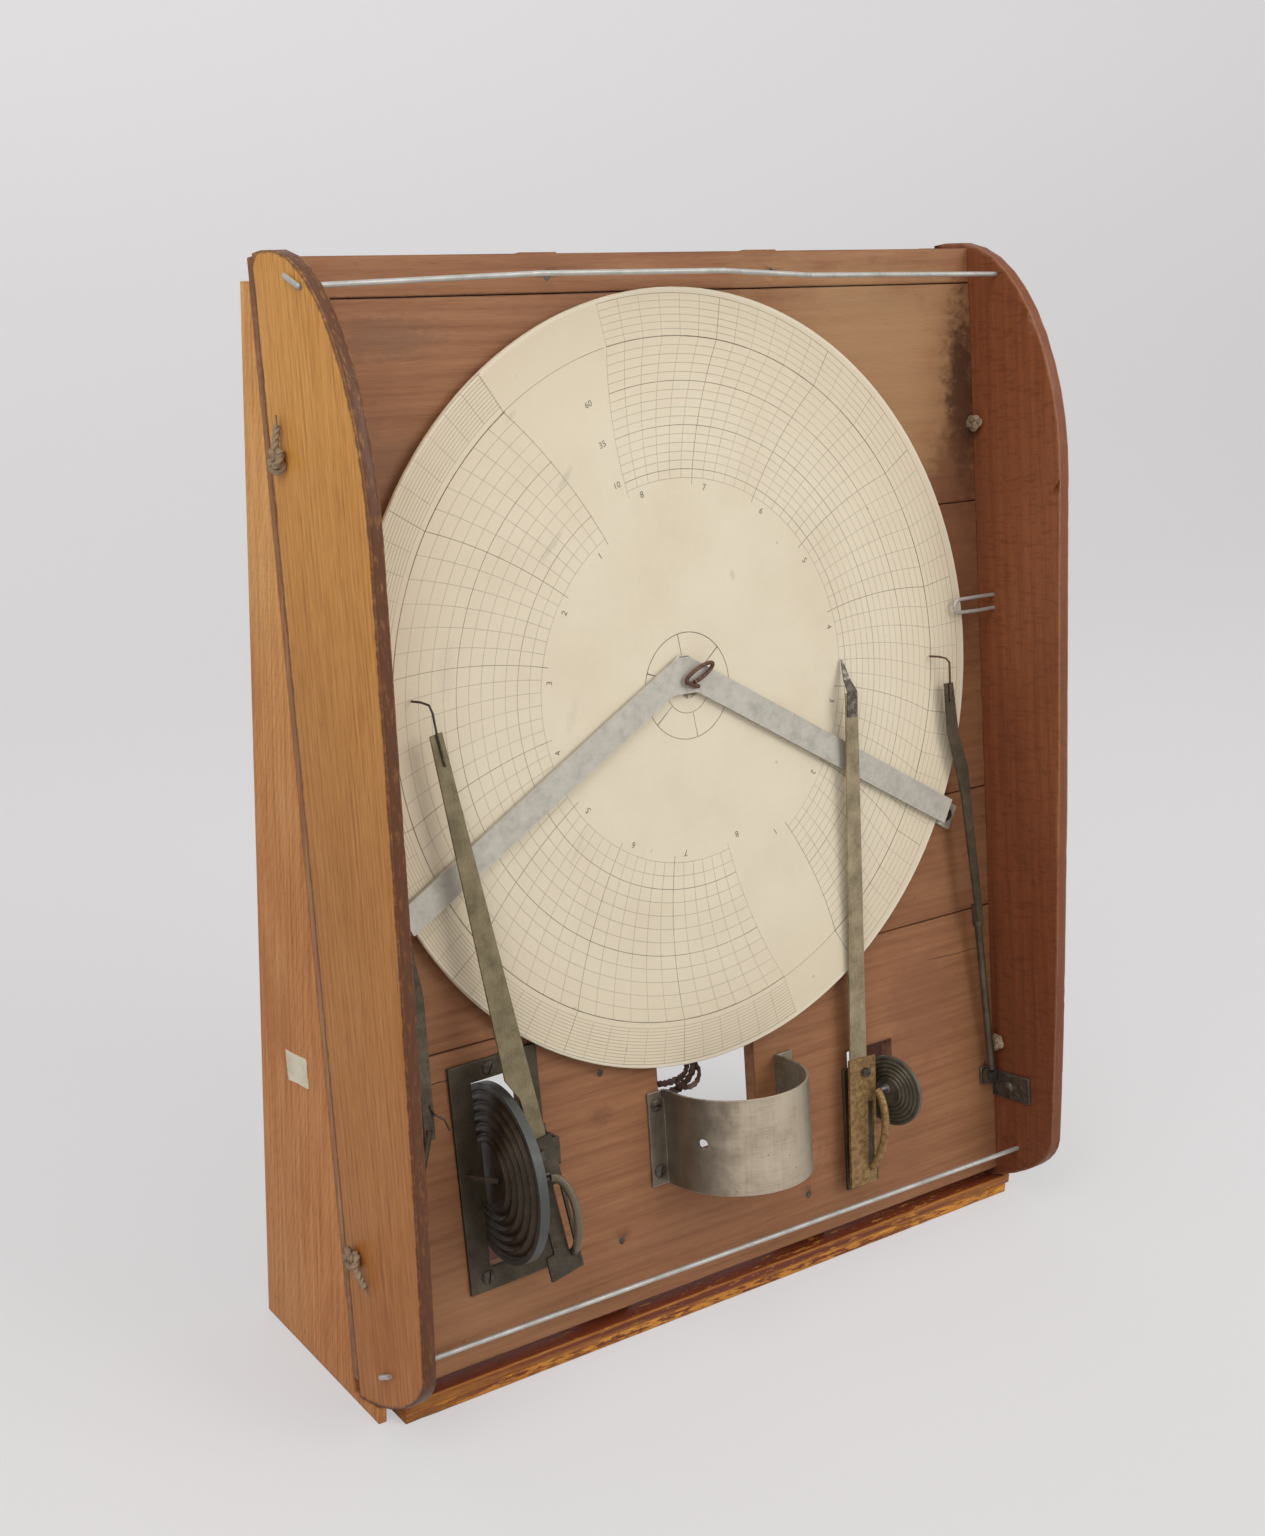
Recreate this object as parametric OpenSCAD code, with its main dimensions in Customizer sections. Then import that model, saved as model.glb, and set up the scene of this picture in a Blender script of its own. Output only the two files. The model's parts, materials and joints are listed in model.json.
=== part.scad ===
// A wooden recording instrument: a leaning board between two cheeks carries a
// clock-turned circular chart and four pens. Millimetres, +Z up, front at -Y.
// Board coordinates are x to the right, s up along the board and w forward of its face.

/* [Board] */
// Angle between the board and the upright
board_lean = 9.1; // [4:0.1:14]
// Width of the board between the cheeks
inner_w = 325; // [319:1:345]
// Thickness of the planks
plank_t = 6; // [5:0.5:8]
// Height of the board's lower edge, along the board
board_bottom = 13.3; // [12:0.1:16]
// Width of the lowest plank, along the board
plank_bottom_h = 125.6; // [122:0.1:128]
// Width of the second plank
plank_lower_h = 54.4; // [52:0.1:58]
// Width of the third plank
plank_middle_h = 126.5; // [123:0.1:130]
// Width of the fourth plank
plank_upper_h = 92.2; // [90:0.1:94]
// Width of the top plank
plank_top_h = 14.6; // [13:0.1:16]
// Gap left by shrinkage at each plank joint
joint_gap = 0.5; // [0.1:0.1:1]
// Width of the two battens behind the planks
batten_w = 17; // [12:1:20]
// Depth of the battens
batten_d = 13; // [10:1:13]
// Distance of the left batten's centre from the middle
batten_left_x = 57; // [56:1:70]
// Distance of the right batten's centre from the middle
batten_right_x = 51; // [50:1:70]

/* [Cheeks] */
// Thickness of the cheeks
cheek_t = 5.5; // [4:0.5:8]
// How far the cheeks stand above the board's upper edge
cheek_over = 3.4; // [2:0.1:8]
// How far the cheeks stand in front of the board at their belly
cheek_belly = 45.5; // [40:0.5:55]
// Height of the belly along the board
cheek_belly_s = 328; // [300:1:350]
// How far the cheeks stand in front of the board at the toe
cheek_toe = 32; // [28:0.5:38]
// Height where the rounding of the toe begins
cheek_toe_s = 34; // [30:1:50]
// Height of the cheeks' lower back corner along the board
cheek_heel_s = 6.9; // [6.5:0.1:7.5]
// Thickness of the stiles behind the cheeks
stile_t = 3.7; // [2:0.1:6]
// Width of the stiles
stile_w = 14; // [10:1:24]

/* [Wedge] */
// Thickness of the wedge-shaped side panels
side_t = 3.5; // [2:0.5:5]
// Depth of the side panels at their top
side_top_d = 7; // [5:0.5:20]
// How far the side panels stop below the back corner of the board's upper edge
side_drop = 5.6; // [2:0.1:20]
// How far behind the base's front edge the left panel's toe ends
toe_y = 5.6; // [3:0.1:8]
// Height of the toe at its front end
toe_h = 7; // [5:0.5:7.5]
// Thickness of each of the two base boards
base_t = 4.3; // [3:0.1:4.3]
// Gap between the left side panel and the base's end
packing_w = 5; // [3:0.5:8]
// How far the lower base board stops short of the right side
base_lower_short = 1; // [0:0.5:3]
// How far the upper base board stands out on the right
base_upper_out = 1; // [0:0.5:2]

/* [Chart] */
// Radius of the circular chart
chart_r = 152.4; // [146:0.1:153]
// Place of the chart's centre, from the middle
chart_x = -6; // [-8:0.5:-4]
// Height of the chart's centre along the board
chart_s = 260.5; // [258:0.5:263]
// Gap between the board and the back of the chart card
chart_gap = 3.4; // [3:0.1:4]
// Thickness of the chart's backing card
card_t = 1.5; // [1:0.1:2]
// Thickness of the chart sheet
sheet_t = 0.3; // [0.1:0.1:0.5]
// Radius of the hub flange behind the chart
hub_r = 14; // [12:1:20]
// Thickness of the hub flange
hub_t = 1.2; // [0.8:0.1:1.6]
// Radius of the centre arbor
arbor_r = 2.5; // [2:0.1:3]

/* [Bridge] */
// Width of the bridge's arms
bridge_w = 10.9; // [9.5:0.1:12]
// Thickness of the bridge
bridge_t = 1.6; // [1:0.1:1.8]
// Gap between the chart's front and the bridge
bridge_gap = 1; // [0.6:0.1:1]
// Height above the chart's centre where the middles of the two arms meet
apex_up = 7.3; // [6:0.1:7.5]
// How far that meeting point lies to the left of the chart's centre
apex_left = 5; // [4:0.1:6]
// Fall of the arms, in degrees
arm_angle = 29.5; // [28:0.5:31]
// Radius of the eye pin's wire
pin_r = 0.8; // [0.6:0.05:1]

/* [Clock] */
// Outer radius of the clock drum
drum_r = 39; // [38.5:0.5:39.5]
// Depth of the clock drum behind the board
drum_d = 34; // [33:1:36]
// Thickness of the drum's wall
drum_wall = 1.2; // [0.8:0.1:1.5]
// Thickness of the movement's plates
plate_t = 1.2; // [1:0.1:1.5]
// Radius of the movement's plates
plate_r = 34; // [33:0.5:35]
// Gap between the movement's plates
plate_gap = 19.8; // [19:0.2:21]
// Module of the barrel's teeth, pitch diameter over tooth number
barrel_module = 0.8; // [0.75:0.05:0.85]
// Number of teeth on the barrel
barrel_teeth = 32; // [30:2:34]
// Number of teeth on the arbor's pinion
pinion_teeth = 14; // [12:2:16]
// Module of the centre wheel's teeth
wheel_module = 0.5; // [0.45:0.05:0.55]
// Number of teeth on the centre wheel
wheel_teeth = 48; // [44:4:52]
// Number of leaves on the escape pinion
escape_leaves = 12; // [12:2:14]

/* [Pressure unit] */
// Width of the mounting plate
press_plate_w = 40; // [38:1:42]
// Height of the mounting plate
press_plate_h = 91; // [86:1:96]
// Thickness of the mounting plates
mount_t = 1.5; // [1:0.1:2]
// Radius of the aneroid capsule
capsule_r = 34.9; // [32:0.1:36]
// Half of the capsule's thickness at its middle
capsule_half = 4.5; // [4:0.1:5]
// Distance of the capsule's middle from the middle of the board
capsule_x = -111.5; // [-112.5:0.5:-110.5]
// Height of the capsule's middle along the board
capsule_s = 88; // [86:1:90]
// How far the capsule's middle lies in front of the board
capsule_w = 4; // [2:0.5:5]
// Turn of the capsule about the upright
capsule_turn = 6; // [4:0.5:7]

/* [Temperature unit] */
// Radius of the liquid-filled capsule
bulb_r = 15.4; // [13:0.1:16]
// Half of its thickness
bulb_half = 2.4; // [2:0.1:2.8]
// Distance of the capsule's middle from the middle of the board
bulb_x = 89.3; // [88.5:0.1:90]
// Height of the capsule's middle along the board
bulb_s = 71; // [70:0.5:72]
// How far the capsule's middle lies in front of the board
bulb_w = 8; // [6:0.5:9]

/* [Pen levers] */
// Length of a lever plate below its pivot
lever_below = 50.3; // [48:0.1:53]
// Length of a lever plate above its pivot
lever_above = 6.4; // [6:0.1:7]
// Width of a lever plate
lever_w = 15; // [14:0.5:16]
// Thickness of a lever plate
lever_t = 1.2; // [1:0.1:1.5]
// Distance from the pivot down to the link
lever_crank = 9; // [8:0.1:10]
// Radius of the pivot pins
pivot_r = 1.2; // [1:0.1:1.4]
// Running clearance of every turning or sliding pin, on the radius
run_gap = 0.05; // [0.03:0.01:0.08]
// Radius of the rounded tongue that is bowed out of a lever plate
tongue_r = 1.7; // [1.4:0.1:1.9]
// How far that tongue bows out
tongue_bow = 7.5; // [6:0.5:9]
// Length of the pen arms above the pivot
arm_len = 165; // [155:1:170]
// Thickness of the pen arms
arm_t = 0.8; // [0.6:0.1:1]

/* [Rim pens] */
// Radius of the rods that carry the two rim pens
rod_r = 1.6; // [1.2:0.1:2]
// Height of the rim levers' pivots along the board
rim_pivot_s = 60; // [58:1:62]
// Distance of the rim levers' pivots from the cheeks
rim_pivot_in = 6; // [5.5:0.5:7]
// Height of the rim pens' points along the board
rim_tip_s = 256.3; // [250:0.1:260]
// Height of the cheek plates that carry them
rim_plate_h = 12; // [10:1:14]
// Depth of the cheek plates
rim_plate_d = 21; // [16:1:24]
// Thickness of the cheek plates
rim_plate_t = 1.4; // [1:0.1:1.8]

/* [Holder] */
// Inner radius of the holder band
band_r = 29.5; // [28:0.5:31]
// Thickness of the band
band_t = 1; // [0.8:0.1:1.4]
// Height of the band along the board
band_h = 39.5; // [36:0.5:44]
// Height of the band's lower edge along the board
band_s = 60; // [58:0.5:62]
// Straight part of the band next to the board
band_leg = 8; // [6:0.5:10]
// Width of the band's feet
band_foot = 8; // [7:0.5:9]
// Place of the band's middle
band_x = 1.2; // [0:0.1:2.5]

/* [Wires and fasteners] */
// Radius of the two cross wires
wire_r = 1; // [0.8:0.1:1.4]
// Radius of the screw heads
screw_head_r = 2.9; // [2.4:0.1:3.2]
// Radius of the screw shanks
screw_r = 1.3; // [1:0.1:1.5]
// Length of the screw shanks in the wood
screw_l = 5; // [3.5:0.5:5]
// Radius of the nails
nail_r = 0.9; // [0.6:0.1:1.2]
// Length of the nails
nail_l = 15; // [12:1:18]
// Radius of the knotted cords
cord_r = 1.3; // [1:0.1:1.5]
// Width of the bare paper label
label_w = 17; // [12:1:22]
// Height of the bare paper label
label_h = 12; // [8:1:16]

/* [Hidden] */

big = 1000;
eps = 0.01;
lap = 1;
wood_dark = "sienna";
wood_light = "peru";
steel_dark = "dimgray";

// Heights of the plank joints and of the cheeks along the board
joint_1 = board_bottom + plank_bottom_h;
joint_2 = joint_1 + plank_lower_h;
joint_3 = joint_2 + plank_middle_h;
joint_4 = joint_3 + plank_upper_h;
board_top = joint_4 + plank_top_h;
cheek_h = board_top + cheek_over;

// Faces of the layers, as distances forward of the board
outer_w = inner_w + 2*cheek_t;
cheek_back = plank_t + batten_d;
stile_back = cheek_back + stile_t;
card_w = chart_gap;
sheet_w = card_w + card_t;
chart_front = sheet_w + sheet_t;
bridge_back = chart_front + bridge_gap;
bridge_front = bridge_back + bridge_t;
base_top = 2*base_t;
side_h = board_top*cos(board_lean) - stile_back*sin(board_lean) - side_drop;
base_left = -outer_w/2 + side_t + packing_w;

// Curves as lists of points
function bezier(a, b, c, d, n) = [for (i = [0:n])
    let (t = i/n, u = 1 - t) u*u*u*a + 3*u*u*t*b + 3*u*t*t*c + t*t*t*d];
function circle_points(cx, cy, r, from, to, n) =
    [for (i = [0:n]) let (a = from + (to - from)*i/n) [cx + r*cos(a), cy + r*sin(a)]];
function unit(v) = v/norm(v);

// Outline of a cheek in w and s: top flat, shoulder, belly and toe
shoulder = bezier([-12, cheek_h], [26, cheek_h], [cheek_belly + 2, cheek_h - 0.53*(cheek_h - cheek_belly_s)],
    [cheek_belly, cheek_belly_s], 12);
belly = bezier([cheek_belly, cheek_belly_s], [cheek_belly - 1.9, 0.87*cheek_belly_s],
    [cheek_toe + 9, 0.45*cheek_belly_s], [cheek_toe, cheek_toe_s], 16);
toe = bezier([cheek_toe, cheek_toe_s], [cheek_toe - 1, 0.62*cheek_toe_s], [8, cheek_heel_s + 2.2],
    [-16, cheek_heel_s], 10);
cheek_outline = concat([[-cheek_back, cheek_heel_s], [-cheek_back, cheek_h]], shoulder, belly, toe);

// The frame stands on its base with the bounding box's middle above the origin
function depth_of(w, s) = s*sin(board_lean) - w*cos(board_lean);
function behind_stile(z) =
    let (s = (z + stile_back*sin(board_lean))/cos(board_lean)) [depth_of(-stile_back, s), z];
side_d = behind_stile(side_h)[0] + side_top_d;
front_y = min([for (p = cheek_outline) depth_of(p[0], p[1])]);
frame_y = -(front_y + side_d)/2;

// Board coordinates to the upright frame
module on_board() {
    translate([0, frame_y, 0]) rotate([-board_lean, 0, 0]) children();
}

// A flat shape drawn in x and s, raised from w1 to w2
module slab(w1, w2) {
    translate([0, -w1, 0]) rotate([90, 0, 0]) linear_extrude(w2 - w1) children();
}

// A flat shape drawn in -w and s, raised from x1 to x2
module side_slab(x1, x2) {
    translate([x1, 0, 0]) rotate([90, 0, 90]) linear_extrude(x2 - x1) children();
}

// A flat shape drawn in x and -w, raised from s1 to s2
module shelf(s1, s2) {
    translate([0, 0, s1]) linear_extrude(s2 - s1) children();
}

// A round bar square to the board
module peg(x, s, w1, w2, r) {
    translate([x, -w1, s]) rotate([90, 0, 0]) cylinder(h = w2 - w1, r = r, $fn = 48);
}

// A round wire swept along points given as x, w and s
function sweep_dir(p, i) = unit(p[min(i + 1, len(p) - 1)] - p[max(i - 1, 0)]);
function any_side(d) = abs(d[0]) < 0.8 ? unit(cross(d, [1, 0, 0])) : unit(cross(d, [0, 1, 0]));
function carried(p, i) = i == 0 ? any_side(sweep_dir(p, 0))
    : let (d = sweep_dir(p, i), v = carried(p, i - 1)) unit(v - d*(v*d));
module wire(points, r, sides = 12) {
    p = [for (q = points) [q[0], -q[1], q[2]]];
    n = len(p);
    rings = [for (i = [0:n - 1]) let (u = carried(p, i), v = cross(sweep_dir(p, i), u))
        for (k = [0:sides - 1]) p[i] + r*cos(360*k/sides)*u + r*sin(360*k/sides)*v];
    walls = [for (i = [0:n - 2], k = [0:sides - 1]) each
        [[i*sides + k, (i + 1)*sides + k, i*sides + (k + 1)%sides],
         [i*sides + (k + 1)%sides, (i + 1)*sides + k, (i + 1)*sides + (k + 1)%sides]]];
    ends = [[for (k = [0:sides - 1]) k], [for (k = [sides - 1:-1:0]) (n - 1)*sides + k]];
    polyhedron(rings, faces = concat(walls, ends));
}

// Places that several pieces share, in board coordinates
batten_spots = [-batten_left_x, batten_right_x];
nail_spots = [[-batten_left_x + 3, 42], [batten_right_x - 5, 33], [-batten_left_x - 2, 113.5],
    [batten_right_x, 166], [-batten_left_x, 170], [batten_right_x, 225], [-batten_left_x, 300],
    [batten_right_x, 360], [-batten_left_x, 352], [-batten_left_x - 1, board_top - 8.6],
    [batten_right_x, board_top - 8.6]];
window_l = capsule_x - 7;
window_r = capsule_x + 14;
window_s1 = capsule_s - 37;
window_s2 = capsule_s + 37;
press_plate_x = -108;
press_plate_s = 87.5;
press_plate_lean = 1.6;
press_screws = [[-2, 41.5], [-12, -40]];
bulb_plate_w = 18;
bulb_plate_l = 68;
bulb_plate_s1 = 29;
bulb_plate_s2 = 85;
bulb_plate_screws = [[72, 34], [82, 34]];
bulb_window = [72, bulb_s - 17, 26.3, 36.5];
bulb_turn = -8;
anchor_x = bulb_x + 14;
band_screw_s = [band_s + 6, band_s + band_h - 5.5];
band_foot_x = band_r + band_t + band_foot/2;
band_window = [band_x - 32.2, band_x + 18.3];
apex_x = chart_x - apex_left;
apex_s = chart_s + apex_up;
rim_clear = 0.8;
foot_len = 11.8;
foot_screw = 7.6;
lug_out = 5;
lug_w = 14;
case_back = plank_t + drum_d;
plate_front = plank_t + drum_wall + 1.8;
back_plate_w = plate_front + plate_t + plate_gap;
train_end = back_plate_w + plate_t;
barrel_pitch = barrel_module*barrel_teeth/2;
pinion_pitch = barrel_module*pinion_teeth/2;
wheel_pitch = wheel_module*wheel_teeth/2;
escape_pitch = wheel_module*escape_leaves/2;
barrel_dy = -(barrel_pitch + pinion_pitch);
escape_dy = wheel_pitch + escape_pitch;
balance_at = [11, escape_dy + 7];
pillar_angles = [20, 160, 215, 325];
pillar_ring = plate_r - 4;
pillar_r = 2;
winder_r = 2;
winder_side = 2.8;
staff_r = 0.8;
press_pivot = [-102.5, capsule_s + lever_crank, 18.8];
press_lean = -10.7;
bulb_pivot = [75.3, bulb_s + 11.5, 5.8];
bulb_lean = 2;
stub_w = lever_t + tongue_r + 0.4;
rim_pivot_x = inner_w/2 - rim_pivot_in;
rim_screw = [rim_pivot_s - 5.5, 9];
eye_w = 2.2;
pen_gap = 0.8;
pen_r = 0.45;
leaf_w = 8.9;
leaf_t = 1;
leaf_s = [for (d = [120.3, 62.3, 50.8, 33.3, 12.3]) rim_tip_s - d];
leaf_left = [12.3, 19.3, 22, 26.5, 27.3];
leaf_right = [8.5, 14.1, 15, 20.3, 22.5];
bar_w = 11;
bar_s = [for (d = [144.3, 91.3, 10.3]) rim_tip_s - d];
tongue_v = 3.2;
press_tip = 0.2;
bulb_tip = 4.8;
tongue_root = -lever_below + 7;
press_incline = -1.63;
bulb_incline = 2.2;
top_wire_w = 14.7;
top_wire_points = [for (p = [[-0.5, 11.8], [-0.21, 9.1], [0.04, 9.3], [0.17, 11.7], [0.5, 12.9]])
    [p[0]*outer_w, top_wire_w, board_top - p[1]]];
bottom_wire_points = [[-outer_w/2, 1.7, 23.2], [outer_w/2, 12.2, 25.9]];
left_cords = [[359.3, -15.3, 8, 7], [66.5, -13.5, -9, 8]];
right_cords = [[353, 2.5, 6, 5], [75, 4, 7, 4]];
cord_gap = 0.3;
knot_r = 2.4;
staple_s = 276;
staple_w = 8;
staple_half = 2.8;
staple_reach = 24;
staple_r = 0.8;

// The slots where capsules and the holder's contents pass through the board
module board_windows() {
    translate([window_l - 0.5, window_s1 - 1.5])
        square([window_r - window_l + 1.5, window_s2 - window_s1 + 3]);
    translate([band_window[0], 62]) square([band_window[1] - band_window[0], 58]);
    translate([bulb_window[0], bulb_window[1]]) square([bulb_window[2], bulb_window[3]]);
}

// Every hole that goes into the planks
module board_holes() {
    slab(-plank_t - lap, lap) board_windows();
    for (n = nail_spots) nail(n[0], n[1], lap);
    for (p = screw_places()) peg(p[0], p[1], -screw_l, lap, screw_r);
    for (p = lug_places()) peg(p[0], p[1], -plank_t - lap, -plank_t + screw_l - 1.5, screw_r);
    for (side = [-1, 1]) peg(side*rim_pivot_x, rim_pivot_s, -plank_t + 1, lap, pivot_r);
    peg(chart_x, chart_s, -plank_t - lap, lap, 8);
}

// Screw places on the board's face, with the height of the seat under each head
function on_press_plate(p) = let (a = -press_plate_lean)
    [press_plate_x + p[0]*cos(a) + p[1]*sin(a), press_plate_s - p[0]*sin(a) + p[1]*cos(a), mount_t];
function arm_reach(side) =
    let (v = [-apex_left, apex_up], d = [side*cos(arm_angle), -sin(arm_angle)], k = v*d)
    sqrt(k*k - v*v + (chart_r + rim_clear)^2) - k;
function bridge_foot(side) = let (t = arm_reach(side) + foot_screw)
    [apex_x + side*t*cos(arm_angle), apex_s - t*sin(arm_angle), bridge_t];
function screw_places() = concat([for (p = press_screws) on_press_plate(p)],
    [for (p = bulb_plate_screws) [p[0], p[1], mount_t]],
    [for (side = [-1, 1], s = band_screw_s) [band_x + side*band_foot_x, s, band_t]],
    [for (side = [-1, 1]) bridge_foot(side)],
    [[anchor_x, bulb_s - 4, mount_t]]);
function lug_places() = [for (side = [-1, 1]) [chart_x, chart_s + side*(drum_r + lug_out)]];

module plank(s1, s2) {
    color(wood_light) on_board() difference() {
        slab(-plank_t, 0) translate([-inner_w/2, s1 + joint_gap/2]) square([inner_w, s2 - s1 - joint_gap]);
        board_holes();
    }
}
module plank_bottom() { plank(board_bottom, joint_1); }
module plank_lower() { plank(joint_1, joint_2); }
module plank_middle() { plank(joint_2, joint_3); }
module plank_upper() { plank(joint_3, joint_4); }
module plank_top() { plank(joint_4, board_top); }

// Everything below the base's upper face
module below_base() {
    translate([-big, -big, base_top - big]) cube([2*big, 2*big, big]);
}

module battens() {
    color(wood_light) difference() {
        on_board() difference() {
            for (x = batten_spots) slab(-cheek_back, -plank_t)
                translate([x - batten_w/2, 0]) square([batten_w, board_top + 1]);
            for (n = nail_spots) nail(n[0], n[1], 0);
        }
        below_base();
    }
}

// A nail with its head let into the planks
module nail(x, s, top) {
    peg(x, s, -nail_l, 0, nail_r);
    peg(x, s, -0.6, top, nail_r + 0.6);
}
module board_nails() {
    color(steel_dark) on_board() for (n = nail_spots) nail(n[0], n[1], 0);
}

module cheek(x1) {
    difference() {
        side_slab(x1, x1 + cheek_t) polygon([for (p = cheek_outline) [-p[0], p[1]]]);
        for (p = [top_wire_points, bottom_wire_points]) let (i = x1 < 0 ? 0 : len(p) - 2)
            span(p[i], p[i + 1], wire_r + 0.2, 4);
        for (c = x1 < 0 ? left_cords : right_cords)
            bar_x(x1 - lap, x1 + cheek_t + lap, c[1], c[0], cord_r + cord_gap);
        bar_x(x1 < 0 ? x1 + cheek_t - 4 : x1 - lap, x1 < 0 ? x1 + cheek_t + lap : x1 + 4,
            rim_screw[1], rim_screw[0], screw_r);
        if (x1 > 0) for (k = [-1, 1]) bar_x(x1 - lap, x1 + 4, staple_w, staple_s + k*staple_half, staple_r);
    }
}
module left_cheek() { color(wood_light) on_board() cheek(-outer_w/2); }
module right_cheek() {
    color(wood_dark) difference() {
        on_board() cheek(inner_w/2);
        below_base();
    }
}

// A round bar along x
module bar_x(x1, x2, w, s, r) {
    translate([x1, -w, s]) rotate([0, 90, 0]) cylinder(h = x2 - x1, r = r, $fn = 48);
}

// A straight round bar between two places given as x, w and s
module span(a, b, r, extra = 0) {
    d = [b[0] - a[0], a[1] - b[1], b[2] - a[2]];
    l = norm(d);
    translate([a[0], -a[1], a[2]]) rotate([0, acos(d[2]/l), atan2(d[1], d[0])])
        translate([0, 0, -extra]) cylinder(h = l + 2*extra, r = r, $fn = 32);
}

module stiles() {
    color(wood_light) on_board() for (side = [-1, 1]) slab(-stile_back, -cheek_back)
        translate([side > 0 ? outer_w/2 - stile_w : -outer_w/2, board_bottom])
            square([stile_w, cheek_h - 1 - board_bottom]);
}

module side_panel(x1, outline) {
    translate([x1, frame_y, 0]) rotate([90, 0, 90]) linear_extrude(side_t) polygon(outline);
}
module left_side_panel() {
    heel = [depth_of(-cheek_back, cheek_heel_s),
        cheek_heel_s*cos(board_lean) - cheek_back*sin(board_lean) - 0.4];
    color(wood_light) side_panel(-outer_w/2, [[toe_y, 0], [side_d, 0], [side_d, side_h],
        behind_stile(side_h), behind_stile(heel[1]), heel, [toe_y, toe_h]]);
}
module right_side_panel() {
    color(wood_dark) side_panel(outer_w/2 - side_t, [behind_stile(base_top), [side_d, base_top],
        [side_d, side_h], behind_stile(side_h)]);
}

module packing_strip() {
    color(wood_dark) translate([base_left - packing_w, frame_y + behind_stile(0)[0] + 3, 0])
        cube([packing_w, side_d - behind_stile(0)[0] - 3, base_top]);
}
module base_board(z, right) {
    color(wood_dark) translate([base_left, frame_y, z]) cube([right - base_left, side_d, base_t]);
}
module base_lower_board() { base_board(0, outer_w/2 - base_lower_short); }
module base_upper_board() { base_board(base_t, outer_w/2 + base_upper_out); }

// A slotted screw with its head on a seat, turned by an angle
module screw(seat, turn, length) {
    translate([0, -seat, 0]) rotate([90, 0, 0]) difference() {
        union() {
            translate([0, 0, -length]) cylinder(h = length + eps, r = screw_r, $fn = 32);
            cylinder(h = 1.4, r = screw_head_r, $fn = 40);
        }
        rotate([0, 0, turn]) translate([-screw_head_r - lap, -0.4, 0.7])
            cube([2*screw_head_r + 2*lap, 0.8, 2]);
    }
}
module wood_screws() {
    places = screw_places();
    color(steel_dark) on_board() {
        for (i = [0:len(places) - 1]) translate([places[i][0], 0, places[i][1]])
            screw(places[i][2], 35 + 71*i, screw_l + places[i][2]);
        for (p = lug_places()) translate([p[0], 0, p[1]]) mirror([0, 1, 0])
            screw(plank_t + mount_t, 20, screw_l);
        for (side = [-1, 1]) translate([side*(inner_w/2 - rim_plate_t), -rim_screw[1], rim_screw[0]])
            rotate([0, 0, -side*90]) screw(0, 60, 4 + rim_plate_t);
    }
}

// A cross wire through some points, with its two ends turned over outside the cheeks
module cross_wire(points, turn_w, turn_s) {
    n = len(points);
    for (i = [0:n - 2]) span(points[i], points[i + 1], wire_r);
    if (n > 2) for (i = [1:n - 2]) translate([points[i][0], -points[i][1], points[i][2]])
        sphere(r = wire_r + 0.05, $fn = 32);
    for (e = [points[0], points[n - 1]]) {
        out = [e[0] + sign(e[0])*wire_r, e[1], e[2]];
        translate([out[0], -out[1], out[2]]) sphere(r = wire_r, $fn = 32);
        span(out, out + [0, turn_w, turn_s], wire_r);
    }
}
module top_wire() { color("lightgray") on_board() cross_wire(top_wire_points, -9, 4.6); }
module bottom_wire() { color("lightgray") on_board() cross_wire(bottom_wire_points, 7, 3); }

// A cord through a cheek with a knot on each side and a tail outside
module knotted_cord(c, side) {
    x_in = inner_w/2;
    x_out = outer_w/2;
    mirror([side < 0 ? 1 : 0, 0, 0]) {
        bar_x(x_in - 0.5, x_out + 0.5, c[1], c[0], cord_r);
        bar_x(x_in - 3.8, x_in - 0.2, c[1], c[0], knot_r);
        bar_x(x_out + 0.2, x_out + 3.6, c[1], c[0], knot_r);
        span([x_out + 1.9, c[1], c[0]], [x_out + 2.1, c[1] + c[3], c[0] + c[2]], cord_r);
    }
}
module cord_knots() {
    color("tan") on_board() {
        for (c = left_cords) knotted_cord(c, -1);
        for (c = right_cords) knotted_cord(c, 1);
    }
}

module rim_staple() {
    x_in = inner_w/2 - staple_reach + staple_half;
    bend = [for (a = [90:30:270]) [x_in + staple_half*cos(a), staple_w, staple_s + staple_half*sin(a)]];
    color("silver") on_board() wire(concat([[inner_w/2 + 3, staple_w, staple_s + staple_half]], bend,
        [[inner_w/2 + 3, staple_w, staple_s - staple_half]]), staple_r);
}

module paper_label() {
    color("ivory") on_board() side_slab(-outer_w/2 - 0.12, -outer_w/2)
        translate([37, 125]) square([label_w, label_h]);
}

// The chart and what turns it
module chart_disc(w1, w2, r) {
    on_board() slab(w1, w2) translate([chart_x, chart_s]) difference() {
        circle(r = r, $fn = 180);
        circle(r = arbor_r, $fn = 48);
    }
}
module chart_card() { color("wheat") chart_disc(card_w, sheet_w, chart_r); }
module chart_sheet() { color("cornsilk") chart_disc(sheet_w, chart_front, chart_r - 0.4); }
module chart_hub() {
    color("darkkhaki") on_board() difference() {
        union() {
            peg(chart_x, chart_s, card_w - hub_t, card_w, hub_r);
            peg(chart_x, chart_s, -4, card_w, 5);
        }
        peg(chart_x, chart_s, -5, card_w + lap, arbor_r);
    }
}

// A toothed outline with straight flanks; free is the play left at the pitch circle
function gear_points(n, m, free, phase) =
    let (r = m*n/2, q = 90/n - free/(2*r)*180/PI, slope = tan(20)*180/PI)
    [for (i = [0:n - 1], c = [[-1, -1.2], [-1, 0.9], [1, 0.9], [1, -1.2]])
        let (a = 360*i/n + phase + c[0]*(q - c[1]*m*slope/r), rr = r + c[1]*m) [rr*cos(a), rr*sin(a)]];
module toothed(x, s, w1, w2, points) {
    slab(w1, w2) translate([x, s]) polygon(points);
}

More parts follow.
